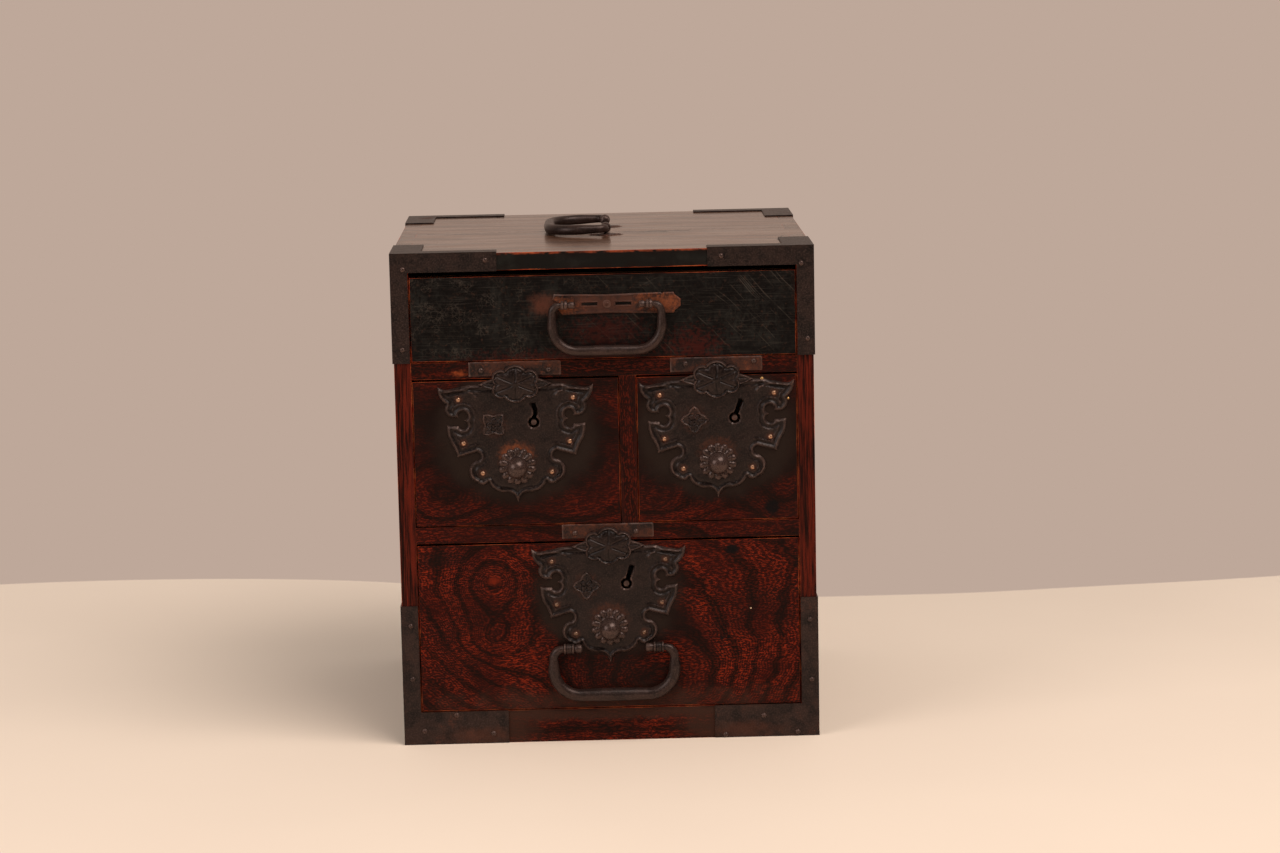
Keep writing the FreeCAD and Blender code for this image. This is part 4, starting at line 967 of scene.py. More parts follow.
BEADS, BEAD_RING, BEAD_HALF, BEAD_LONG = 14, 10.7, 2.45, 0.78
ROSETTE, ROSETTE_CUSP = 13.5, 11.9
BALL, NECK, STEM = 7.75, 3.5, 0.5
ROSETTE_RIM, ROSETTE_CROWN = 0.75, 3.0
SHANK, SHANK_END = 2.5, -15.2


def knob_sections(pitch):
    """A ball on a neck over a rosette of beads, and its shank with a riveted end."""
    def spoke(radius, bead):
        return polar(radius, TURN * bead / BEADS)

    outline = drawn(spoke(ROSETTE_CUSP, 0),
                    [(*spoke(ROSETTE, n + 0.5), *spoke(ROSETTE_CUSP, n + 1)) for n in range(BEADS)], pitch)

    def lift(points, edge):
        reach, turn = np.hypot(points[:, 0], points[:, 1]), np.arctan2(points[:, 1], points[:, 0])
        step = TURN / BEADS
        aside = ((turn % step) - step / 2) * reach
        away = np.hypot(aside, (reach - BEAD_RING) * BEAD_LONG)
        rise = ROSETTE_RIM + 1.4 * np.clip(1 - (away / BEAD_HALF) ** 2, 0, 1) ** 0.8
        rise += (ROSETTE_CROWN - ROSETTE_RIM) * eased(-reach, -9.2, 5.7) ** 0.8
        rise += ridge(reach, at=7.3, wide=0.4, high=0.45)
        rise += 0.12 * np.cos(BEADS * 2 * turn) * eased(reach, 4.5, 2) * (reach < 7.0)
        return np.minimum(rise, ROSETTE_CROWN + 0.1) * rounded(edge, 0.6, 0.35)

    under = ROSETTE_CROWN + STEM
    middle = under + math.sqrt(BALL ** 2 - NECK ** 2)
    turns = np.linspace(-math.acos(NECK / BALL), math.pi / 2, 19)[:-1]
    profile = [(SHANK, SHANK_END), (SHANK, 0.2), (4.6, 1.8), (NECK + 0.4, ROSETTE_CROWN - 0.1),
               (NECK, ROSETTE_CROWN + 0.2)]
    profile += [(r, middle + h) for r, h in (polar(BALL, turn) for turn in turns)]
    profile.append((0.12, middle + BALL))
    washer = [(SHANK, -16.4), (4.2, -16.2), (4.6, -15.6), (4.6, SHANK_END), (2.4, SHANK_END)]
    return sheet_mesh(outline, [], pitch, lift), turned_mesh(profile, 48), turned_mesh(washer, 24)


def make_knobs():
    rosette, ball, washer = knob_sections(sizes().small_pitch / MM)
    material = iron_material("knob", rusty=-0.1, pale=0.9, dents=0.1, rough=0.26, rub=0.28)
    for lock in LOCKS:
        at, seat = centre_of(f"{lock}_knob"), plate_at(lock)[1] - PLATE_SHEET
        place = shift(at.x, seat, at.z)
        sections = [moved(rosette, place), moved(ball, place @ FRONT_OUT), moved(washer, place @ FRONT_OUT)]
        new_piece(f"{lock}_knob_turned", sections, material, f"{lock}_drawer", f"{lock}_knob")


# ---- handles ----------------------------------------------------------------------------------------------

# Sizes in millimetres; eyes is from eye to eye. Then its joint, its body and the body that its eyes ride on.
Bail = namedtuple("Bail", "wide drop eyes eye_across eye_width journal ball neck leg bar corner "
                          "swing body holder")
BAILS = {"top_drawer_handle": Bail(85, 33, 60.6, 6.4, 4.8, 3.8, 5.2, 5.4, 6.8, 7.8, 18,
                                   "top_handle_swing", "top_handle", "top_drawer"),
         "bottom_drawer_handle": Bail(96, 34.5, 65, 7.6, 7, 4.8, 6.2, 6.4, 8.4, 9.8, 19.5,
                                      "bottom_handle_swing", "bottom_handle", "bottom_drawer"),
         "carry_handle": Bail(86, 42, 60, 7.6, 5, 4.6, 6.4, 6, 7.4, 8.4, 23,
                              "carry_handle_swing", "carry_bail", "case")}
EYE_PLAY, BORE_PLAY = 0.4, 0.06
HANDLE_STAND = 5.5
TOP_SHEET, FRONT_SHEET = 12.5, 14.0     # the boards that the eyes' pins go through
PIN, SLOT = 1.2, 1.5    # a pin's bent end, and half of its slot
CARRY_TILT = math.radians(1.4)
# A handle on the top board: its axis runs front to back and it lies towards -X.
LYING = Matrix(((0, 0, 1, 0), (-1, 0, 0, 0), (0, -1, 0, 0), (0, 0, 0, 1)))


def swing_place(handle):
    """Where a handle's axis is, with the handle hanging down from it along X."""
    joint = next(j for j in frame["joints"] if j["name"] == BAILS[handle].swing)
    place = Matrix.Translation(Vector(joint["pos_m"]))
    return place @ LYING if handle == "carry_handle" else place


def bail_line(handle):
    """(x, z, width) along the right half of a bail, from its inner end to the middle of its bar."""
    wide, drop, eyes, _, eye_width, journal, ball, neck, leg, bar, corner = BAILS[handle][:11]
    leg_x = (wide - leg) / 2
    elbow_x = (eyes + eye_width) / 2 + EYE_PLAY
    elbow = leg_x - elbow_x
    inner = (eyes - eye_width) / 2 - ball
    seat = inner + ball - EYE_PLAY
    line = [(inner, 0, ball * 0.3), (inner + 0.15, 0, ball * 0.62), (inner + 0.7, 0, ball * 0.9),
            (inner + ball * 0.4, 0, ball), (inner + ball * 0.7, 0, ball * 0.97), (seat - 0.3, 0, ball * 0.8)]
    line.append((seat, 0, journal))
    line += [(seat + 0.4 + (elbow_x - inner - ball) * n / 6, 0, journal) for n in range(1, 6)]
    for n in range(9):
        turn = math.pi / 2 * n / 8
        line.append((elbow_x + elbow * math.sin(turn), -elbow + elbow * math.cos(turn),
                     journal + (neck - journal) * min(1, n / 3)))
    foot = -drop + corner
    line += [(leg_x, -elbow + (foot + elbow) * n / 10, neck + (leg - neck) * n / 10) for n in range(1, 10)]
    for n in range(15):
        turn = math.pi / 2 * n / 14
        line.append((leg_x - corner + corner * math.cos(turn), foot - corner * math.sin(turn),
                     leg + (bar - leg) * 0.25 * n / 14))
    run = leg_x - corner
    line += [(run * (1 - n / 16), -drop, leg + (bar - leg) * (0.25 + 0.75 * math.sin(math.pi / 2 * n / 16)))
             for n in range(1, 17)]
    return line


BAIL_SIDES, BAIL_WAVES = 28, 6


def bail_mesh(handle, seed):
    """A hand-forged bail swept along its line, with long facets and slow unevenness."""
    half = bail_line(handle)
    line = half + [(-x, z, width) for x, z, width in reversed(half[:-1])]
    chance = random.Random(seed)
    waves = [(chance.uniform(0.05, 0.3), chance.uniform(0, 6.3), chance.randint(1, 4))
             for _ in range(BAIL_WAVES)]
    rings = []
    for n, (x, z, width) in enumerate(line):
        before, after = line[max(0, n - 1)], line[min(len(line) - 1, n + 1)]
        run = Vector((after[0] - before[0], after[1] - before[1])).normalized()
        ring = []
        for k in range(BAIL_SIDES):
            angle = TURN * k / BAIL_SIDES
            uneven = sum(math.sin(n * rate + late + lobes * angle) for rate, late, lobes in waves) * 0.003
            radius = width / 2 * (0.992 + 0.008 * math.cos(8 * angle) + uneven)
            out, side = polar(radius, angle)
            ring.append(Vector((x + run.y * out, side, z - run.x * out)) * MM)
        rings.append(ring)
    return rings_mesh(rings)


def make_bails():
    material = iron_material("handle iron", rusty=-0.08, pale=0.6, dents=0.35, rough=0.36, rub=0.1, tone=0.2)
    for seed, (handle, bail) in enumerate(BAILS.items()):
        place = swing_place(handle)
        if handle == "carry_handle":
            place = place @ Matrix.Rotation(CARRY_TILT, 4, "X")
        sections = [moved(bail_mesh(handle, seed), place)]
        new_piece(handle.replace("handle", "bail"), sections, material, bail.body, handle)


def block_mesh(low, high):
    """A block with its long edges eased, corners in millimetres."""
    work = bmesh.new()
    bmesh.ops.create_cube(work, size=1)
    middle, span = (Vector(low) + Vector(high)) / 2 * MM, (Vector(high) - Vector(low)) * MM
    for v in work.verts:
        v.co = Vector(a * b for a, b in zip(v.co, span)) + middle
    bmesh.ops.bevel(work, geom=list(work.edges), offset=min(span) * 0.22, segments=2, affect="EDGES")
    work.verts.ensure_lookup_table()
    section = [v.co.copy() for v in work.verts], [[v.index for v in f.verts] for f in work.faces]
    work.free()
    return section


def eye_profile(handle):
    """The eye along its axis: a split button on the top drawer, a ringed sleeve on the bottom one."""
    bail = BAILS[handle]
    out, half, bore = bail.eye_across / 2, bail.eye_width / 2, bail.journal / 2 + BORE_PLAY
    if handle == "top_drawer_handle":
        side = [(out - 0.55, half), (out - 0.15, half - 0.3), (out, half - 0.9), (out, 0.42),
                (out - 0.3, 0.3), (out - 0.95, 0.26)]
    elif handle == "bottom_drawer_handle":
        side = [(out - 0.25, half), (out, half - 0.25), (out, half - 1.1), (out - 0.45, half - 1.35),
                (out - 0.45, half - 1.7), (out - 0.12, half - 1.95), (out - 0.08, 0.2)]
    else:
        side = [(out - 0.5, half), (out - 0.15, half - 0.3), (out, half - 0.8), (out, 0.3)]
    mirrored = [(r, -h) for r, h in reversed(side)]
    return [(bore, half), *side, *mirrored, (bore, -half)]


def make_eyes():
    material = iron_material("eye iron", rusty=-0.03, pale=0.4, dents=0.2, rough=0.38)
    axis_x = Matrix.Rotation(math.radians(90), 4, "Y")
    for handle, bail in BAILS.items():
        half, board = bail.eye_width / 2, TOP_SHEET if handle == "carry_handle" else FRONT_SHEET
        near, back = bail.eye_across / 2 - 0.5, HANDLE_STAND + board
        place, sections = swing_place(handle), []
        for side in (-1, 1):
            x = side * bail.eyes / 2
            sections.append(moved(ring_mesh(eye_profile(handle)), place @ shift(x, 0, 0) @ axis_x))
            shank = block_mesh((x - half, near, -SLOT), (x + half, back + PIN, SLOT))
            ends = [block_mesh((x - half, back, low), (x + half, back + PIN, high))
                    for low, high in ((-9, 0), (0, 9))]
            sections += [moved(block, place) for block in (shank, *ends)]
        new_piece(f"{handle}_eye_pins", sections, material, bail.holder, f"{handle}_eyes")


WASHER_HALF, WASHER_HOLLOW, THIN_SHEET = 13.0, 4.7, 0.9


def make_washers():
    pitch = sizes().small_pitch / MM
    half, cusp = WASHER_HALF, WASHER_HOLLOW
    outline = drawn((half, 0), [(cusp, cusp, 0, half), (-cusp, cusp, -half, 0), (-cusp, -cusp, 0, -half),
                                (cusp, -cusp, half, 0)], pitch)
    bail = BAILS["carry_handle"]
    wide = bail.eye_width / 2
    slot = drawn((-wide, -SLOT), [(wide, -SLOT), (wide, SLOT), (-wide, SLOT), (-wide, -SLOT)], pitch)

    def lift(points, edge):
        return THIN_SHEET * rounded(edge, 0.5, 0.3) + np.minimum(0, wobble(points, 2.4, 0.1))

    sheet = sheet_mesh(outline, [slot], pitch, lift)
    material = iron_material("washer iron", rusty=0.14, pale=0.4, dents=0.5, rub=0.2)
    place = swing_place("carry_handle")
    washers = [moved(sheet, place @ shift(side * bail.eyes / 2, HANDLE_STAND, 0)) for side in (-1, 1)]
    new_piece("carry_handle_washer_plates", washers, material, "case", "carry_handle_washers")


BROKEN_END = ((0.82, -1), (0.9, -0.4), (0.84, 0), (1, 0.5), (0.97, 1))


def make_handle_plate():
    """The top handle's rusted backplate: waisted, a lobed right end, a broken left end, two lipped slots."""
    pitch = sizes().small_pitch / MM
    right, left, tall, waist, nick, corner, lobe = 53.0, 38.5, 7.5, 6.7, 0.9, 5.0, 39.0
    upper = [(lobe, tall), (lobe + nick, tall - nick), (lobe + 2 * nick, tall), (right - corner, tall),
             (right - corner + nick, tall - 2 * nick), (right, tall - corner)]
    lower = [(x, -z) for x, z in reversed(upper)]
    broken = [(-left * along, tall * up) for along, up in BROKEN_END]
    outline = drawn((0, waist), [*upper, *lower, (0, -waist), *broken, (0, waist)], pitch)
    slots = [drawn((near, -half), [(far, -half), (far, half), (near, half), (near, -half)], pitch)
             for near, far, half in ((-6.6, -17.6, 0.95), (6.6, 17.6, 0.95))]
    lips, border = segments_of(slots), segments_of([outline])

    def lift(points, edge):
        relief = ridge(to_lines(points, *lips), at=0.7, wide=0.45, high=0.35)
        relief += ridge(to_lines(points, *border), at=1.0, wide=0.5, high=0.3)
        return THIN_SHEET * rounded(edge, 0.6, 0.3) + relief * rounded(edge, 0.6) + wobble(points, 3.4, 0.09)

    ink = colours()
    marks = [patch_mark((2, -142, 320), (62, 20, 14), ink.rust, 0.5, 0.0, 210.0, 2.2)]
    rust_at = ((45, 320, (15, 20, 10), 0.8), (-30, 318, (15, 20, 10), 0.8), (30, 321, (9, 20, 9), 0.7))
    marks += [patch_mark((x, -142, z), spread, ink.rust_bright, share, 0.0, 420.0, 2.6)
              for x, z, spread, share in rust_at]
    material = iron_material("rusted backplate", rusty=0.12, pale=0.25, dents=1.4, rough=0.55, tone=0.5,
                             marks=marks)
    place = swing_place("top_drawer_handle") @ shift(0, HANDLE_STAND, 0)
    sheet = moved(sheet_mesh(outline, slots, pitch, lift), place)
    x, y, z = place.translation / MM
    nail = nail_mesh(x + 0.4, y - THIN_SHEET, z, 3.4, 1.3)
    ring = moved(ring_mesh([(1.2, 0), (2.9, 0), (2.9, 0.35), (2.2, 0.6), (1.2, 0.6)]),
                 place @ shift(0.4, -THIN_SHEET, 0) @ FRONT_OUT)
    new_piece("top_handle_backplate", [sheet, nail, ring], material, "top_drawer", "top_drawer_handle_plate")


# ---- irons and nails --------------------------------------------------------------------------------------

STRIKE = (66.0, 10.5)
STRIKE_NAILS = ((-88.1, 273.9), (-39.8, 273.5), (58.1, 275.5), (106.9, 276.5), (-23.7, 154.1), (20.2, 154.5))
IRON_NAILS = ((-141.7, 347.5), (-83.0, 353.1), (-143.5, 289.9), (84.8, 352.4), (141.7, 345.9), (145.7, 291.9),
              (-143.9, 88.4), (-143.7, 49.1), (-136.2, 10.1), (-112.6, 21.5), (-86.1, 7.3), (145.0, 86.5),
              (145.9, 41.9), (135.3, 3.2), (110.6, 15.8), (82.7, 2.3))


def nail_iron():
    return iron_material("nail iron", rusty=0.02, pale=1.0, dents=0.1, rough=0.28, rub=0.2)


def make_strike_plates():
    low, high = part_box("strike_plates")
    face, seat = low.y / MM, high.y / MM
    pitch = sizes().plate_pitch / MM

    def lift(points, edge):
        return (seat - face) * rounded(edge, 0.5, 0.35) + np.minimum(0, wobble(points, 5.0, 0.12))

    tops = {"left": high.z / MM, "right": high.z / MM, "bottom": low.z / MM + STRIKE[1]}
    material = iron_material("strike plate iron", rusty=0.13, pale=0.25, rough=0.5, tone=0.65)
    half, foot = STRIKE[0] / 2, -STRIKE[1]
    outline = drawn((-half, foot), [(-half + 0.8, foot), (half - 0.5, foot + 0.1), (half, foot + 0.6),
                                    (half - 0.1, -0.7), (half - 0.8, 0), (-half + 0.6, -0.1), (-half, -0.6),
                                    (-half, foot)], pitch)
    sheet = sheet_mesh(outline, [], pitch, lift)
    sheets = [moved(sheet, shift(plate_at(lock)[0], seat, tops[lock])) for lock in LOCKS]
    new_piece("rail_strike_plates", sheets, material, "case", "strike_plates")
    heads = [nail_mesh(x, face, z, 3.6, 1.3) for x, z in STRIKE_NAILS]
    new_piece("strike_plate_nails", heads, nail_iron(), "case")


SIDE_RIVETS = ((151, 134.5, 296), (151, 134.5, 345), (151, 92, 352), (151, 134.5, 84), (151, 134, 12),
               (151, 92, 8), (85, 133.5, 359), (145, 90, 359))
BACK_RIVETS = ((143.5, 141, 296), (143.5, 141, 345), (85, 141, 352), (143.5, 141, 84), (143.5, 141, 12),
               (85, 141, 8))


def flush_rivets(places):
    """Rivet heads hammered flush, at (x, y, z) in millimetres on the left and right, front and back alike."""
    def mark(point, base):
        corner, nearest = vector("ABSOLUTE", point), 1.0
        for place in places:
            nearest = maths("MINIMUM", nearest, vector("DISTANCE", corner, Vector(place) * MM))
        seam = ramp(nearest, 0.0013, 0.0016) * ramp(nearest, 0.0017, 0.0024, 1, 0)
        base = blend(ramp(nearest, 0.0008, 0.0015, 0.5, 0), base, colours().iron_pale)
        return blend(seam * 0.9, base, colours().iron_dark)

    return mark


def make_irons():
    bands = [patch_mark((side * 95, -141, 6), (40, 12, 9), colours().rust, 0.4, 0.1, 200.0, 1.2)
             for side in (-1, 1)]
    sides, back = flush_rivets(SIDE_RIVETS), flush_rivets(BACK_RIVETS)
    for node, rusty, tone, marks in (("front_top_irons", -0.05, 0.45, [sides]),
                                     ("front_bottom_irons", 0.0, 0.15, [*bands, sides]),
                                     ("back_irons", 0.0, 0.15, [sides, back])):
        material = iron_material(node.replace("_", " "), rusty=rusty, pale=0.5, dents=3.2, marks=marks,
                                 rough=0.4, worked=False, tone=tone)
        paint(frame["nodes"][node], material, sizes().iron_round)
    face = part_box("front_top_irons")[0].y / MM
    heads = [nail_mesh(x, face, z, 3.7, 1.4) for x, z in IRON_NAILS]
    new_piece("corner_iron_nails", heads, nail_iron(), "case")


def make_lock_works():
    material = iron_material("lock case iron", rusty=0.02, pale=0.3, dents=0.6)
    for lock in LOCKS:
        for node in (f"{lock}_lock_case", f"{lock}_lock_bolt"):
            paint(frame["nodes"][node], material, 0.15 * MM)


# ---- boards and drawers -----------------------------------------------------------------------------------

FRONT = -0.14           # the drawers' front faces
EDGE_FRONT = -0.1385    # just behind the case's front edges
TOP_FRONT = -0.1388
BACK_PLANK = 0.179      # height of the back's lower plank
# Near-black painted shade for the gaps round the drawers.
GAP_SHADE = linear(10, 6, 5)


def arched_depth(heart):
    """Depth of a plain sawn side board: tall arches one over the other."""
    def depth(point, coords):
        along, across, deep = parts(coords)
        across = across - heart
        return along * 0.22 + deep * 0.8 + across * across * 7.0

    return depth


def swirls_depth(*places):
    """Depth of a plain sawn front with swirls: (x, z, reach along, reach across, rise) in millimetres."""
    def depth(point, coords):
        field = flat_depth(point, coords, 0.3)
        for x, z, along, across, rise in places:
            centre, spread = Vector((x, FRONT / MM, z)) * MM, Vector((along, 400, across)) * MM
            field = field + swirl(point, centre, spread, rise * MM)[0]
        return field

    return depth


def glowing_edge(share):
    """Bright worn lacquer with dark upright grain on a board's front edge."""
    def mark(point, base):
        front = ramp(parts(point)[1], EDGE_FRONT - 0.0008, EDGE_FRONT + 0.0008, 1, 0)
        lines, broad = noise(point * (1100, 60, 42), 1, 3, 0.6), noise(point * (160, 30, 12), 1, 3, 0.6)
        grain = ramp(lines * 0.6 + broad * 0.4, 0.4, 0.6)
        return blend(front * share, base, blend(grain, colours().brown_lacquer, linear(88, 27, 15)))

    return mark


def on_top(point):
    """The share of gloss on the chest's top face, 0 below it."""
    return ramp(parts(point)[2], 0.3571, 0.3577)


def top_film(point, base):
    """The top's bleached film runs over the ends of the side boards."""
    streaks = ramp(noise(point * (9, 160, 60), 1, 4, 0.65), 0.4, 0.66, 0.35, 0.9)
    return blend(on_top(point), base, blend(streaks, colours().grey_top, linear(52, 35, 27)))


def top_front(point, base):
    """Black lacquer on the top board's front edge, with a rubbed orange line along its upper arris."""
    ink, (_, y, z) = colours(), parts(point)
    film = ramp(noise(point, 45, 4, 0.65), 0.4, 0.7)
    black = blend(ramp(film, 0, 1, 0.4, 0.9), ink.black_lacquer, ink.grey_film)
    shaky = z + (noise(point, 80, 3) - 0.5) * 0.0016
    line = ramp(shaky, 0.3562, 0.357) * ramp(noise(point, 150, 3), 0.36, 0.55)
    black = blend(line * 0.85, black, linear(134, 58, 32))
    return blend(ramp(y, TOP_FRONT - 0.0006, TOP_FRONT + 0.0006, 1, 0), base, black)


def lacquered_tabs(point, base):
    """The sides' lacquer runs over the ends of the top board's tabs."""
    grain = ramp(noise(point * (300, 900, 60), 1, 3), 0.4, 0.62)
    ends = ramp(maths("ABSOLUTE", parts(point)[0]), 0.1492, 0.1497)
    return blend(ends, base, blend(grain, colours().brown_lacquer, linear(70, 22, 14)))


def painted_gap_shade(face):
    """Painted shade on the edges that face a gap, from just behind the front face inwards."""
    def mark(point, base):
        return blend(ramp(parts(point)[1], face + 0.0001, face + 0.0004), base, GAP_SHADE)

    return mark


def painted_inside_shade(face, inner):
    """Painted shade on the inner arris of a side board, beside the drawers."""
    def mark(point, base):
        x, y, _ = parts(point)
        near = ramp(y, face + 0.012, face + 0.02, 1, 0)
        return blend(near * ramp(maths("ABSOLUTE", x), inner + 0.0002, inner + 0.0005, 1, 0), base, GAP_SHADE)

    return mark


def bare_back(point, base):
    """Bare keyaki behind the lacquered face of a front, past the painted shade of the gap round it."""
    behind = ramp(parts(point)[1] + noise(point, 60, 3) * 0.006, FRONT + 0.008, FRONT + 0.011)
    return blend(behind, painted_gap_shade(FRONT)(point, base), linear(128, 86, 54))


def crack(width, *places):
    """A wavering open crack through (x, y) places on the top, in millimetres."""
    def cut(point):
        x, y, z = parts(point)
        place = joined(x, y + (noise(point, 110, 4, 0.6) - 0.5) * 0.009, 0.0)
        nearest = 1.0
        for (x1, y1), (x2, y2) in zip(places, places[1:]):
            start, run = Vector((x1, y1, 0)) * MM, Vector((x2 - x1, y2 - y1, 0)) * MM
            rel = vector("SUBTRACT", place, start)
            along = out("Clamp", {0: vector("DOT_PRODUCT", rel, run / run.length_squared)})
            foot = out("VectorMath", {0: run, 3: along}, operation="SCALE")
            nearest = maths("MINIMUM", nearest, vector("LENGTH", vector("SUBTRACT", rel, foot)))
        thick = ramp(noise(point, 60, 2), 0.3, 0.7, width * MM * 0.15, width * MM)
        return ramp(nearest, thick * 0.5, thick, 1, 0) * ramp(z, 0.354, 0.3575)

    return cut


def knot(x, y, along, across):
    """A small open knot on the top."""
    def cut(point):
        return patch(point, Vector((x, y, 358)) * MM, Vector((along, across, 40)) * MM, 0.3, 260.0, 0.9)[0]

    return cut


def make_case_boards():
    # gap is painted shade on the rails' and divider's edges that face the drawers' gaps.
    ink, gap = colours(), painted_gap_shade(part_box("upper_rail")[0].y)
    low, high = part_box("left_side")
    for side, heart, offset in (("left", 0.03, 0.4), ("right", -0.02, 1.3)):
        # The side boards get painted shade on their inner arris beside the drawers.
        lacquered("case", f"{side}_side", "side", "dull", arched_depth(heart), offset=offset, wear=0.4,
                  marks=[glowing_edge(0.9), painted_inside_shade(low.y, -high.x), top_film], coat=on_top)
    lacquered("case", "divider_post", "side", "dark", marks=[glowing_edge(0.12), gap], wear=0.15)
    rub = front_patches((-104, 272, 8, 3, ink.worn_edge, 0.5, 0.0, 380.0, 2.0))
    lacquered("case", "upper_rail", "x", "dark", marks=[*rub, gap], wear=0.18)
    lacquered("case", "lower_rail", "x", "dull", marks=[gap], wear=0.18)
    lacquered("case", "base_rail", wear=0.4, marks=front_patches(
        (0, 22, 160, 9, ink.haze, 0.85, 0.4, 110.0, 0.9), (-98, 10, 58, 30, ink.haze, 0.8, 0.6, 60.0, 0.6),
        (98, 10, 58, 30, ink.haze, 0.8, 0.6, 60.0, 0.6), deep=30))
    cuts = [crack(2.2, (-151, 9), (-143.6, 7.9), (-112.9, -6.3), (-94.2, -3), (-68.1, 6.3), (-30, 4),
                  (10, -6), (42.5, -10.7), (75, -3), (120, -6), (151, -2)),
            crack(1.6, (-128, -41), (-112, -40)), crack(2.0, (30, -16), (50, -9), (66, -12)),
            crack(1.4, (128, -95), (131, -75), (136, -54)), knot(42.5, -10.7, 9, 5), knot(48, -15, 5, 4)]
    lacquered("top", "top_board", "top", "top", depth=lambda point, coords: flat_depth(point, coords, 0.3),
              marks=[lacquered_tabs, top_front], wear=0.8, rough=0.26, relief=0.2, cuts=cuts, coat=on_top)
    softwood(["back_planks"], "x", age=0.55, boards=BACK_PLANK)
    softwood(["bottom_board", "bottom_runners", "upper_shelf", "lower_shelf"], "top", age=0.2)
    softwood(["partition"], "side")


def make_drawer_fronts():
    ink = colours()

    def front(drawer, look, offset, wear, *patches, **settings):
        lacquered("front", f"{drawer}_drawer_front", "x", look, offset=offset, wear=wear,
                  marks=[*front_patches(*patches), bare_back], **settings)

    front("top", "black", 0.0, 0.45,
          (64, 287, 26, 19, linear(66, 20, 14), 0.6, 0.0, 420.0, 3.0),
          (-30, 279, 96, 11, linear(62, 20, 14), 0.6, 0.0, 420.0, 3.0),
          (2, 300, 40, 16, linear(58, 19, 13), 0.55, 0.0, 380.0, 2.8),
          (-41, 320, 17, 12, linear(88, 49, 36), 0.75, 0.0, 260.0, 1.2), rough=0.34)
    front("left", "dull", 0.7, 0.32,
          (-64, 224, 84, 58, ink.smoke, 0.94, 0.66, 60.0, 0.6),
          (-125, 245, 30, 30, ink.smoke, 0.8, 0.2, 60.0, 0.7),
          (-64, 160, 80, 6, ink.smoke, 0.5, 0.2, 90.0, 0.7),
          (-64, 226, 66, 55, ink.patina, 0.9, 0.72, 50.0, 0.35),
          depth=swirls_depth((-118.7, 180.5, 44, 26, 30), (-20, 176, 46, 40, 14)))
    front("right", "dull", 1.9, 0.32,
          (80, 224, 84, 58, ink.smoke, 0.94, 0.7, 60.0, 0.6),
          (80, 226, 66, 55, ink.patina, 0.9, 0.72, 50.0, 0.35),
          (118.6, 169.7, 7, 7, ink.stain, 0.9, 0.5, 160.0, 0.5),
          depth=swirls_depth((36, 178, 40, 26, 18), (126, 196, 22, 46, 14)))
    front("bottom", "red", 3.1, 0.36,
          (0, 104, 66, 56, ink.smoke, 0.9, 0.66, 60.0, 0.5),
          (0, 106, 60, 50, ink.patina, 0.85, 0.72, 50.0, 0.35),
          (0, 50, 66, 18, ink.smoke, 0.6, 0.2, 90.0, 1.0),
          (0, 30, 170, 15, ink.haze, 0.75, 0.1, 90.0, 1.4),
          (-121.5, 136.6, 24, 10, ink.smoke, 0.8, 0.2, 70.0, 0.8),
          (52, 88, 16, 20, ink.smoke, 0.7, 0.2, 70.0, 0.8),
          (-83, 120.2, 7, 4.5, ink.bright_pores, 0.6, 0.1, 300.0, 1.0),
          (89.3, 139.6, 6.5, 4.6, ink.stain, 0.95, 0.5, 220.0, 0.6),
          (81, 74, 2.2, 2.2, ink.stain, 0.8, 0.4, 300.0, 0.5),
          (86.1, 74.6, 1.6, 1.6, ink.stain, 0.8, 0.4, 300.0, 0.5),
          (102.3, 95.7, 0.8, 0.8, linear(198, 170, 138), 0.9, 0.5, 300.0, 0.3),
          depth=swirls_depth((-83, 120.2, 20, 20, 16), (-82.7, 77.3, 24, 18, 16), (-92, 98, 46, 60, 30),
                             (40, 40, 92, 92, 74), (-10, 30, 90, 24, 8)))


def make_drawer_boxes():
    for drawer in DRAWERS:
        softwood([f"{drawer}_drawer_back"], "x")
        softwood([f"{drawer}_drawer_bottom"], "top")
        softwood([f"{drawer}_drawer_sides"], "wall")


# ---- stage ------------------------------------------------------------------------------------------------

FLOOR_REACH = 3.2
LENS, SENSOR = 90.81, 36.0
CAMERA_AT = (-0.01275, -2.42493, 0.60109)
CAMERA_TURN = (("Z", -0.0164), ("X", -0.1607), ("Y", 0.0205), ("X", math.pi / 2))
AIM = Vector((0, 0, 0.15))


def make_floor():
    """A pale cloth on a table; past its wavy far edge the floor takes the backdrop's colour."""
    mesh, reach = bpy.data.meshes.new("floor"), FLOOR_REACH
    mesh.from_pydata([(-reach, -reach, 0), (reach, -reach, 0), (reach, reach, 0), (-reach, reach, 0)], [],
                     [(0, 1, 2, 3)])
    made, point, shader = new_material("cloth and backdrop")
    ink, (x, y, _) = colours(), parts(point)
    wave, swell = (noise(point, 3.5, 0) - 0.5) * 0.05, maths("SINE", x * 4.08 + 0.47) * 0.074
    beyond = ramp(y + (wave + swell), 0.398, 0.404)
    weave = noise(point * (900, 900, 900), 1, 2)
    cloth = blend(ramp(noise(point, 2.5, 3), 0.35, 0.65, 0.0, 0.06), ink.cloth, ink.backdrop)
    finish_surface(shader, cloth, ramp(weave, 0, 1, 0.8, 0.95), weave, 0.1, 0.0002, Specular_IOR_Level=0.15)
    flat = add_node(point.tree, "Emission", {0: ink.backdrop, 1: 1.0})
    seen = add_node(point.tree, "LightPath").outputs
    share = beyond * maths("MAXIMUM", Value(seen["Is Camera Ray"]), Value(seen["Is Glossy Ray"]))
    mix = out("MixShader", {0: share, 1: Value(shader.outputs[0]), 2: Value(flat.outputs[0])})
    feed(point.tree.get_output_node("CYCLES").inputs[0], mix)
    mesh.materials.append(made)
    return add_object("floor", mesh)


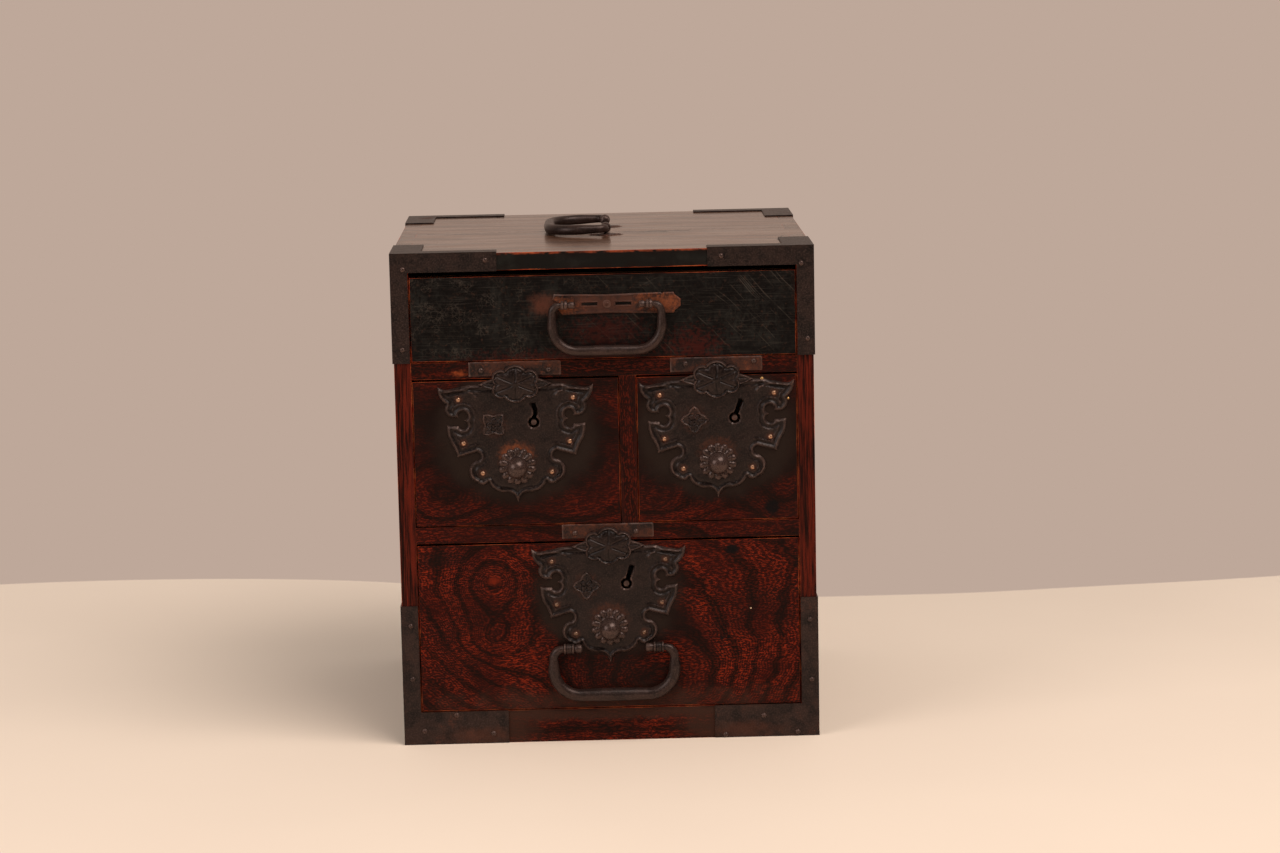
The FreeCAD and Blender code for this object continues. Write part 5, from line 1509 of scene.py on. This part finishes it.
def make_world():
    """The backdrop's colour where the world is seen or mirrored behind the chest, soft light elsewhere."""
    world = bpy.data.worlds.new("studio")
    bpy.context.scene.world = world
    world.use_nodes = True
    tree, backdrop = world.node_tree, colours().backdrop
    tree.nodes.clear()

    def background(ink, strength):
        return Value(add_node(tree, "Background", {0: ink, 1: strength}).outputs[0])

    facing = parts(Value(add_node(tree, "TexCoord").outputs["Generated"]))[1]
    mirrored = blend(ramp(facing, -0.15, 0.35), linear(24, 21, 20), backdrop)
    seen = {socket.name: Value(socket) for socket in add_node(tree, "LightPath").outputs}
    first = out("MixShader", {0: seen["Is Glossy Ray"], 1: background((0.86, 0.84, 0.82), 0.5),
                              2: background(mirrored, 1.0)})
    flat = maths("MAXIMUM", seen["Is Camera Ray"], seen["Is Transmission Ray"])
    add_node(tree, "OutputWorld", {0: out("MixShader", {0: flat, 1: first, 2: background(backdrop, 1.0)})})


def area_light(name, place, width, height, power, tint):
    data = bpy.data.lights.new(name, "AREA")
    data.shape = "RECTANGLE"
    data.size, data.size_y = width, height
    data.energy, data.color = power, tint
    lamp = add_object(name, data)
    lamp.location = place
    lamp.rotation_euler = (AIM - Vector(place)).to_track_quat("-Z", "Y").to_euler()
    return lamp


def make_camera():
    data = bpy.data.cameras.new("camera")
    data.lens, data.sensor_width = LENS, SENSOR
    camera = add_object("camera", data)
    place = Matrix.Translation(CAMERA_AT)
    for axis, angle in CAMERA_TURN:
        place = place @ Matrix.Rotation(angle, 4, axis)
    camera.matrix_world = place
    bpy.context.scene.camera = camera
    return camera


def make_stage():
    make_world()
    pieces = [make_floor(), make_camera(),
              area_light("key light", (1.0, -1.1, 2.3), 1.8, 1.4, 49.0, (1.0, 0.94, 0.88)),
              area_light("fill light", (-1.7, -1.5, 1.2), 1.4, 1.4, 20.0, (1.0, 0.96, 0.93))]
    bpy.context.scene.view_settings.view_transform = "Standard"


# ---- buttons ----------------------------------------------------------------------------------------------

class CHEST_OT_case_boards(bpy.types.Operator):
    """Lacquer the case's boards and rails, with worn edges"""
    bl_idname = "chest.case_boards"
    bl_label = "Case boards"

    def execute(self, context):
        make_case_boards()
        return {"FINISHED"}


class CHEST_OT_drawer_fronts(bpy.types.Operator):
    """Lacquer the four drawer fronts, each with its own figure and stains"""
    bl_idname = "chest.drawer_fronts"
    bl_label = "Drawer fronts"

    def execute(self, context):
        make_drawer_fronts()
        return {"FINISHED"}


class CHEST_OT_drawer_boxes(bpy.types.Operator):
    """Plain softwood for the drawers' sides, backs and bottoms"""
    bl_idname = "chest.drawer_boxes"
    bl_label = "Drawer boxes"

    def execute(self, context):
        make_drawer_boxes()
        return {"FINISHED"}


class CHEST_OT_irons(bpy.types.Operator):
    """Forged iron straps on the case's corners, with their nails"""
    bl_idname = "chest.irons"
    bl_label = "Corner irons"

    def execute(self, context):
        make_irons()
        return {"FINISHED"}


class CHEST_OT_strike_plates(bpy.types.Operator):
    """Iron plates on the rails where the bolts strike"""
    bl_idname = "chest.strike_plates"
    bl_label = "Strike plates"

    def execute(self, context):
        make_strike_plates()
        return {"FINISHED"}


class CHEST_OT_lock_plates(bpy.types.Operator):
    """The three cusped lock plates and their nails"""
    bl_idname = "chest.lock_plates"
    bl_label = "Lock plates"

    def execute(self, context):
        make_lock_plates()
        make_plate_nails()
        return {"FINISHED"}


class CHEST_OT_bosses(bpy.types.Operator):
    """Domed six-petalled bosses with pointed leaves"""
    bl_idname = "chest.bosses"
    bl_label = "Flower bosses"

    def execute(self, context):
        make_bosses()
        return {"FINISHED"}


class CHEST_OT_crests(bpy.types.Operator):
    """The small turning crests over the keyholes"""
    bl_idname = "chest.crests"
    bl_label = "Keyhole crests"

    def execute(self, context):
        make_crests()
        return {"FINISHED"}


class CHEST_OT_knobs(bpy.types.Operator):
    """Ball knobs on beaded rosettes"""
    bl_idname = "chest.knobs"
    bl_label = "Knobs"

    def execute(self, context):
        make_knobs()
        return {"FINISHED"}


class CHEST_OT_lock_works(bpy.types.Operator):
    """Lock cases and bolts behind the fronts"""
    bl_idname = "chest.lock_works"
    bl_label = "Lock works"

    def execute(self, context):
        make_lock_works()
        return {"FINISHED"}


class CHEST_OT_bails(bpy.types.Operator):
    """Forged swinging handles of two drawers and of the top"""
    bl_idname = "chest.bails"
    bl_label = "Handles"

    def execute(self, context):
        make_bails()
        return {"FINISHED"}


class CHEST_OT_eyes(bpy.types.Operator):
    """Split pins whose eyes hold the handles"""
    bl_idname = "chest.eyes"
    bl_label = "Handle eyes"

    def execute(self, context):
        make_eyes()
        return {"FINISHED"}


class CHEST_OT_plates(bpy.types.Operator):
    """The rusted backplate and the washers under the handle eyes"""
    bl_idname = "chest.plates"
    bl_label = "Backplate and washers"

    def execute(self, context):
        make_handle_plate()
        make_washers()
        return {"FINISHED"}


class CHEST_OT_stage(bpy.types.Operator):
    """Cloth, backdrop, soft lights and camera"""
    bl_idname = "chest.stage"
    bl_label = "Stage"

    def execute(self, context):
        make_stage()
        return {"FINISHED"}


OPERATORS = (CHEST_OT_case_boards, CHEST_OT_drawer_fronts, CHEST_OT_drawer_boxes, CHEST_OT_irons,
             CHEST_OT_strike_plates, CHEST_OT_lock_plates, CHEST_OT_bosses, CHEST_OT_crests, CHEST_OT_knobs,
             CHEST_OT_lock_works, CHEST_OT_bails, CHEST_OT_eyes, CHEST_OT_plates, CHEST_OT_stage)


class CHEST_PT_buttons(bpy.types.Panel):
    """Buttons for the chest's pieces, with their colours and sizes"""
    bl_idname = "CHEST_PT_buttons"
    bl_label = "Small tansu chest"
    bl_space_type = "VIEW_3D"
    bl_region_type = "UI"
    bl_category = "Tansu"

    def draw(self, context):
        for operator in OPERATORS:
            self.layout.operator(operator.bl_idname)
        for group in (context.scene.chest_colours, context.scene.chest_sizes):
            for name in group.bl_rna.properties.keys()[2:]:
                self.layout.prop(group, name)


CLASSES = (ChestColours, ChestSizes, *OPERATORS, CHEST_PT_buttons)


def register():
    for item in CLASSES:
        bpy.utils.register_class(item)
    bpy.types.Scene.chest_colours = PointerProperty(type=ChestColours)
    bpy.types.Scene.chest_sizes = PointerProperty(type=ChestSizes)


def unregister():
    del bpy.types.Scene.chest_colours
    del bpy.types.Scene.chest_sizes
    for item in reversed(CLASSES):
        bpy.utils.unregister_class(item)


def main():
    register()
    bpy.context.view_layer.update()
    for operator in OPERATORS:
        step = getattr(bpy.ops.chest, operator.bl_idname.split(".")[1])
        if step() != {"FINISHED"}:
            raise RuntimeError(f"{operator.bl_label} did not finish")


if __name__ == "__main__":
    main()
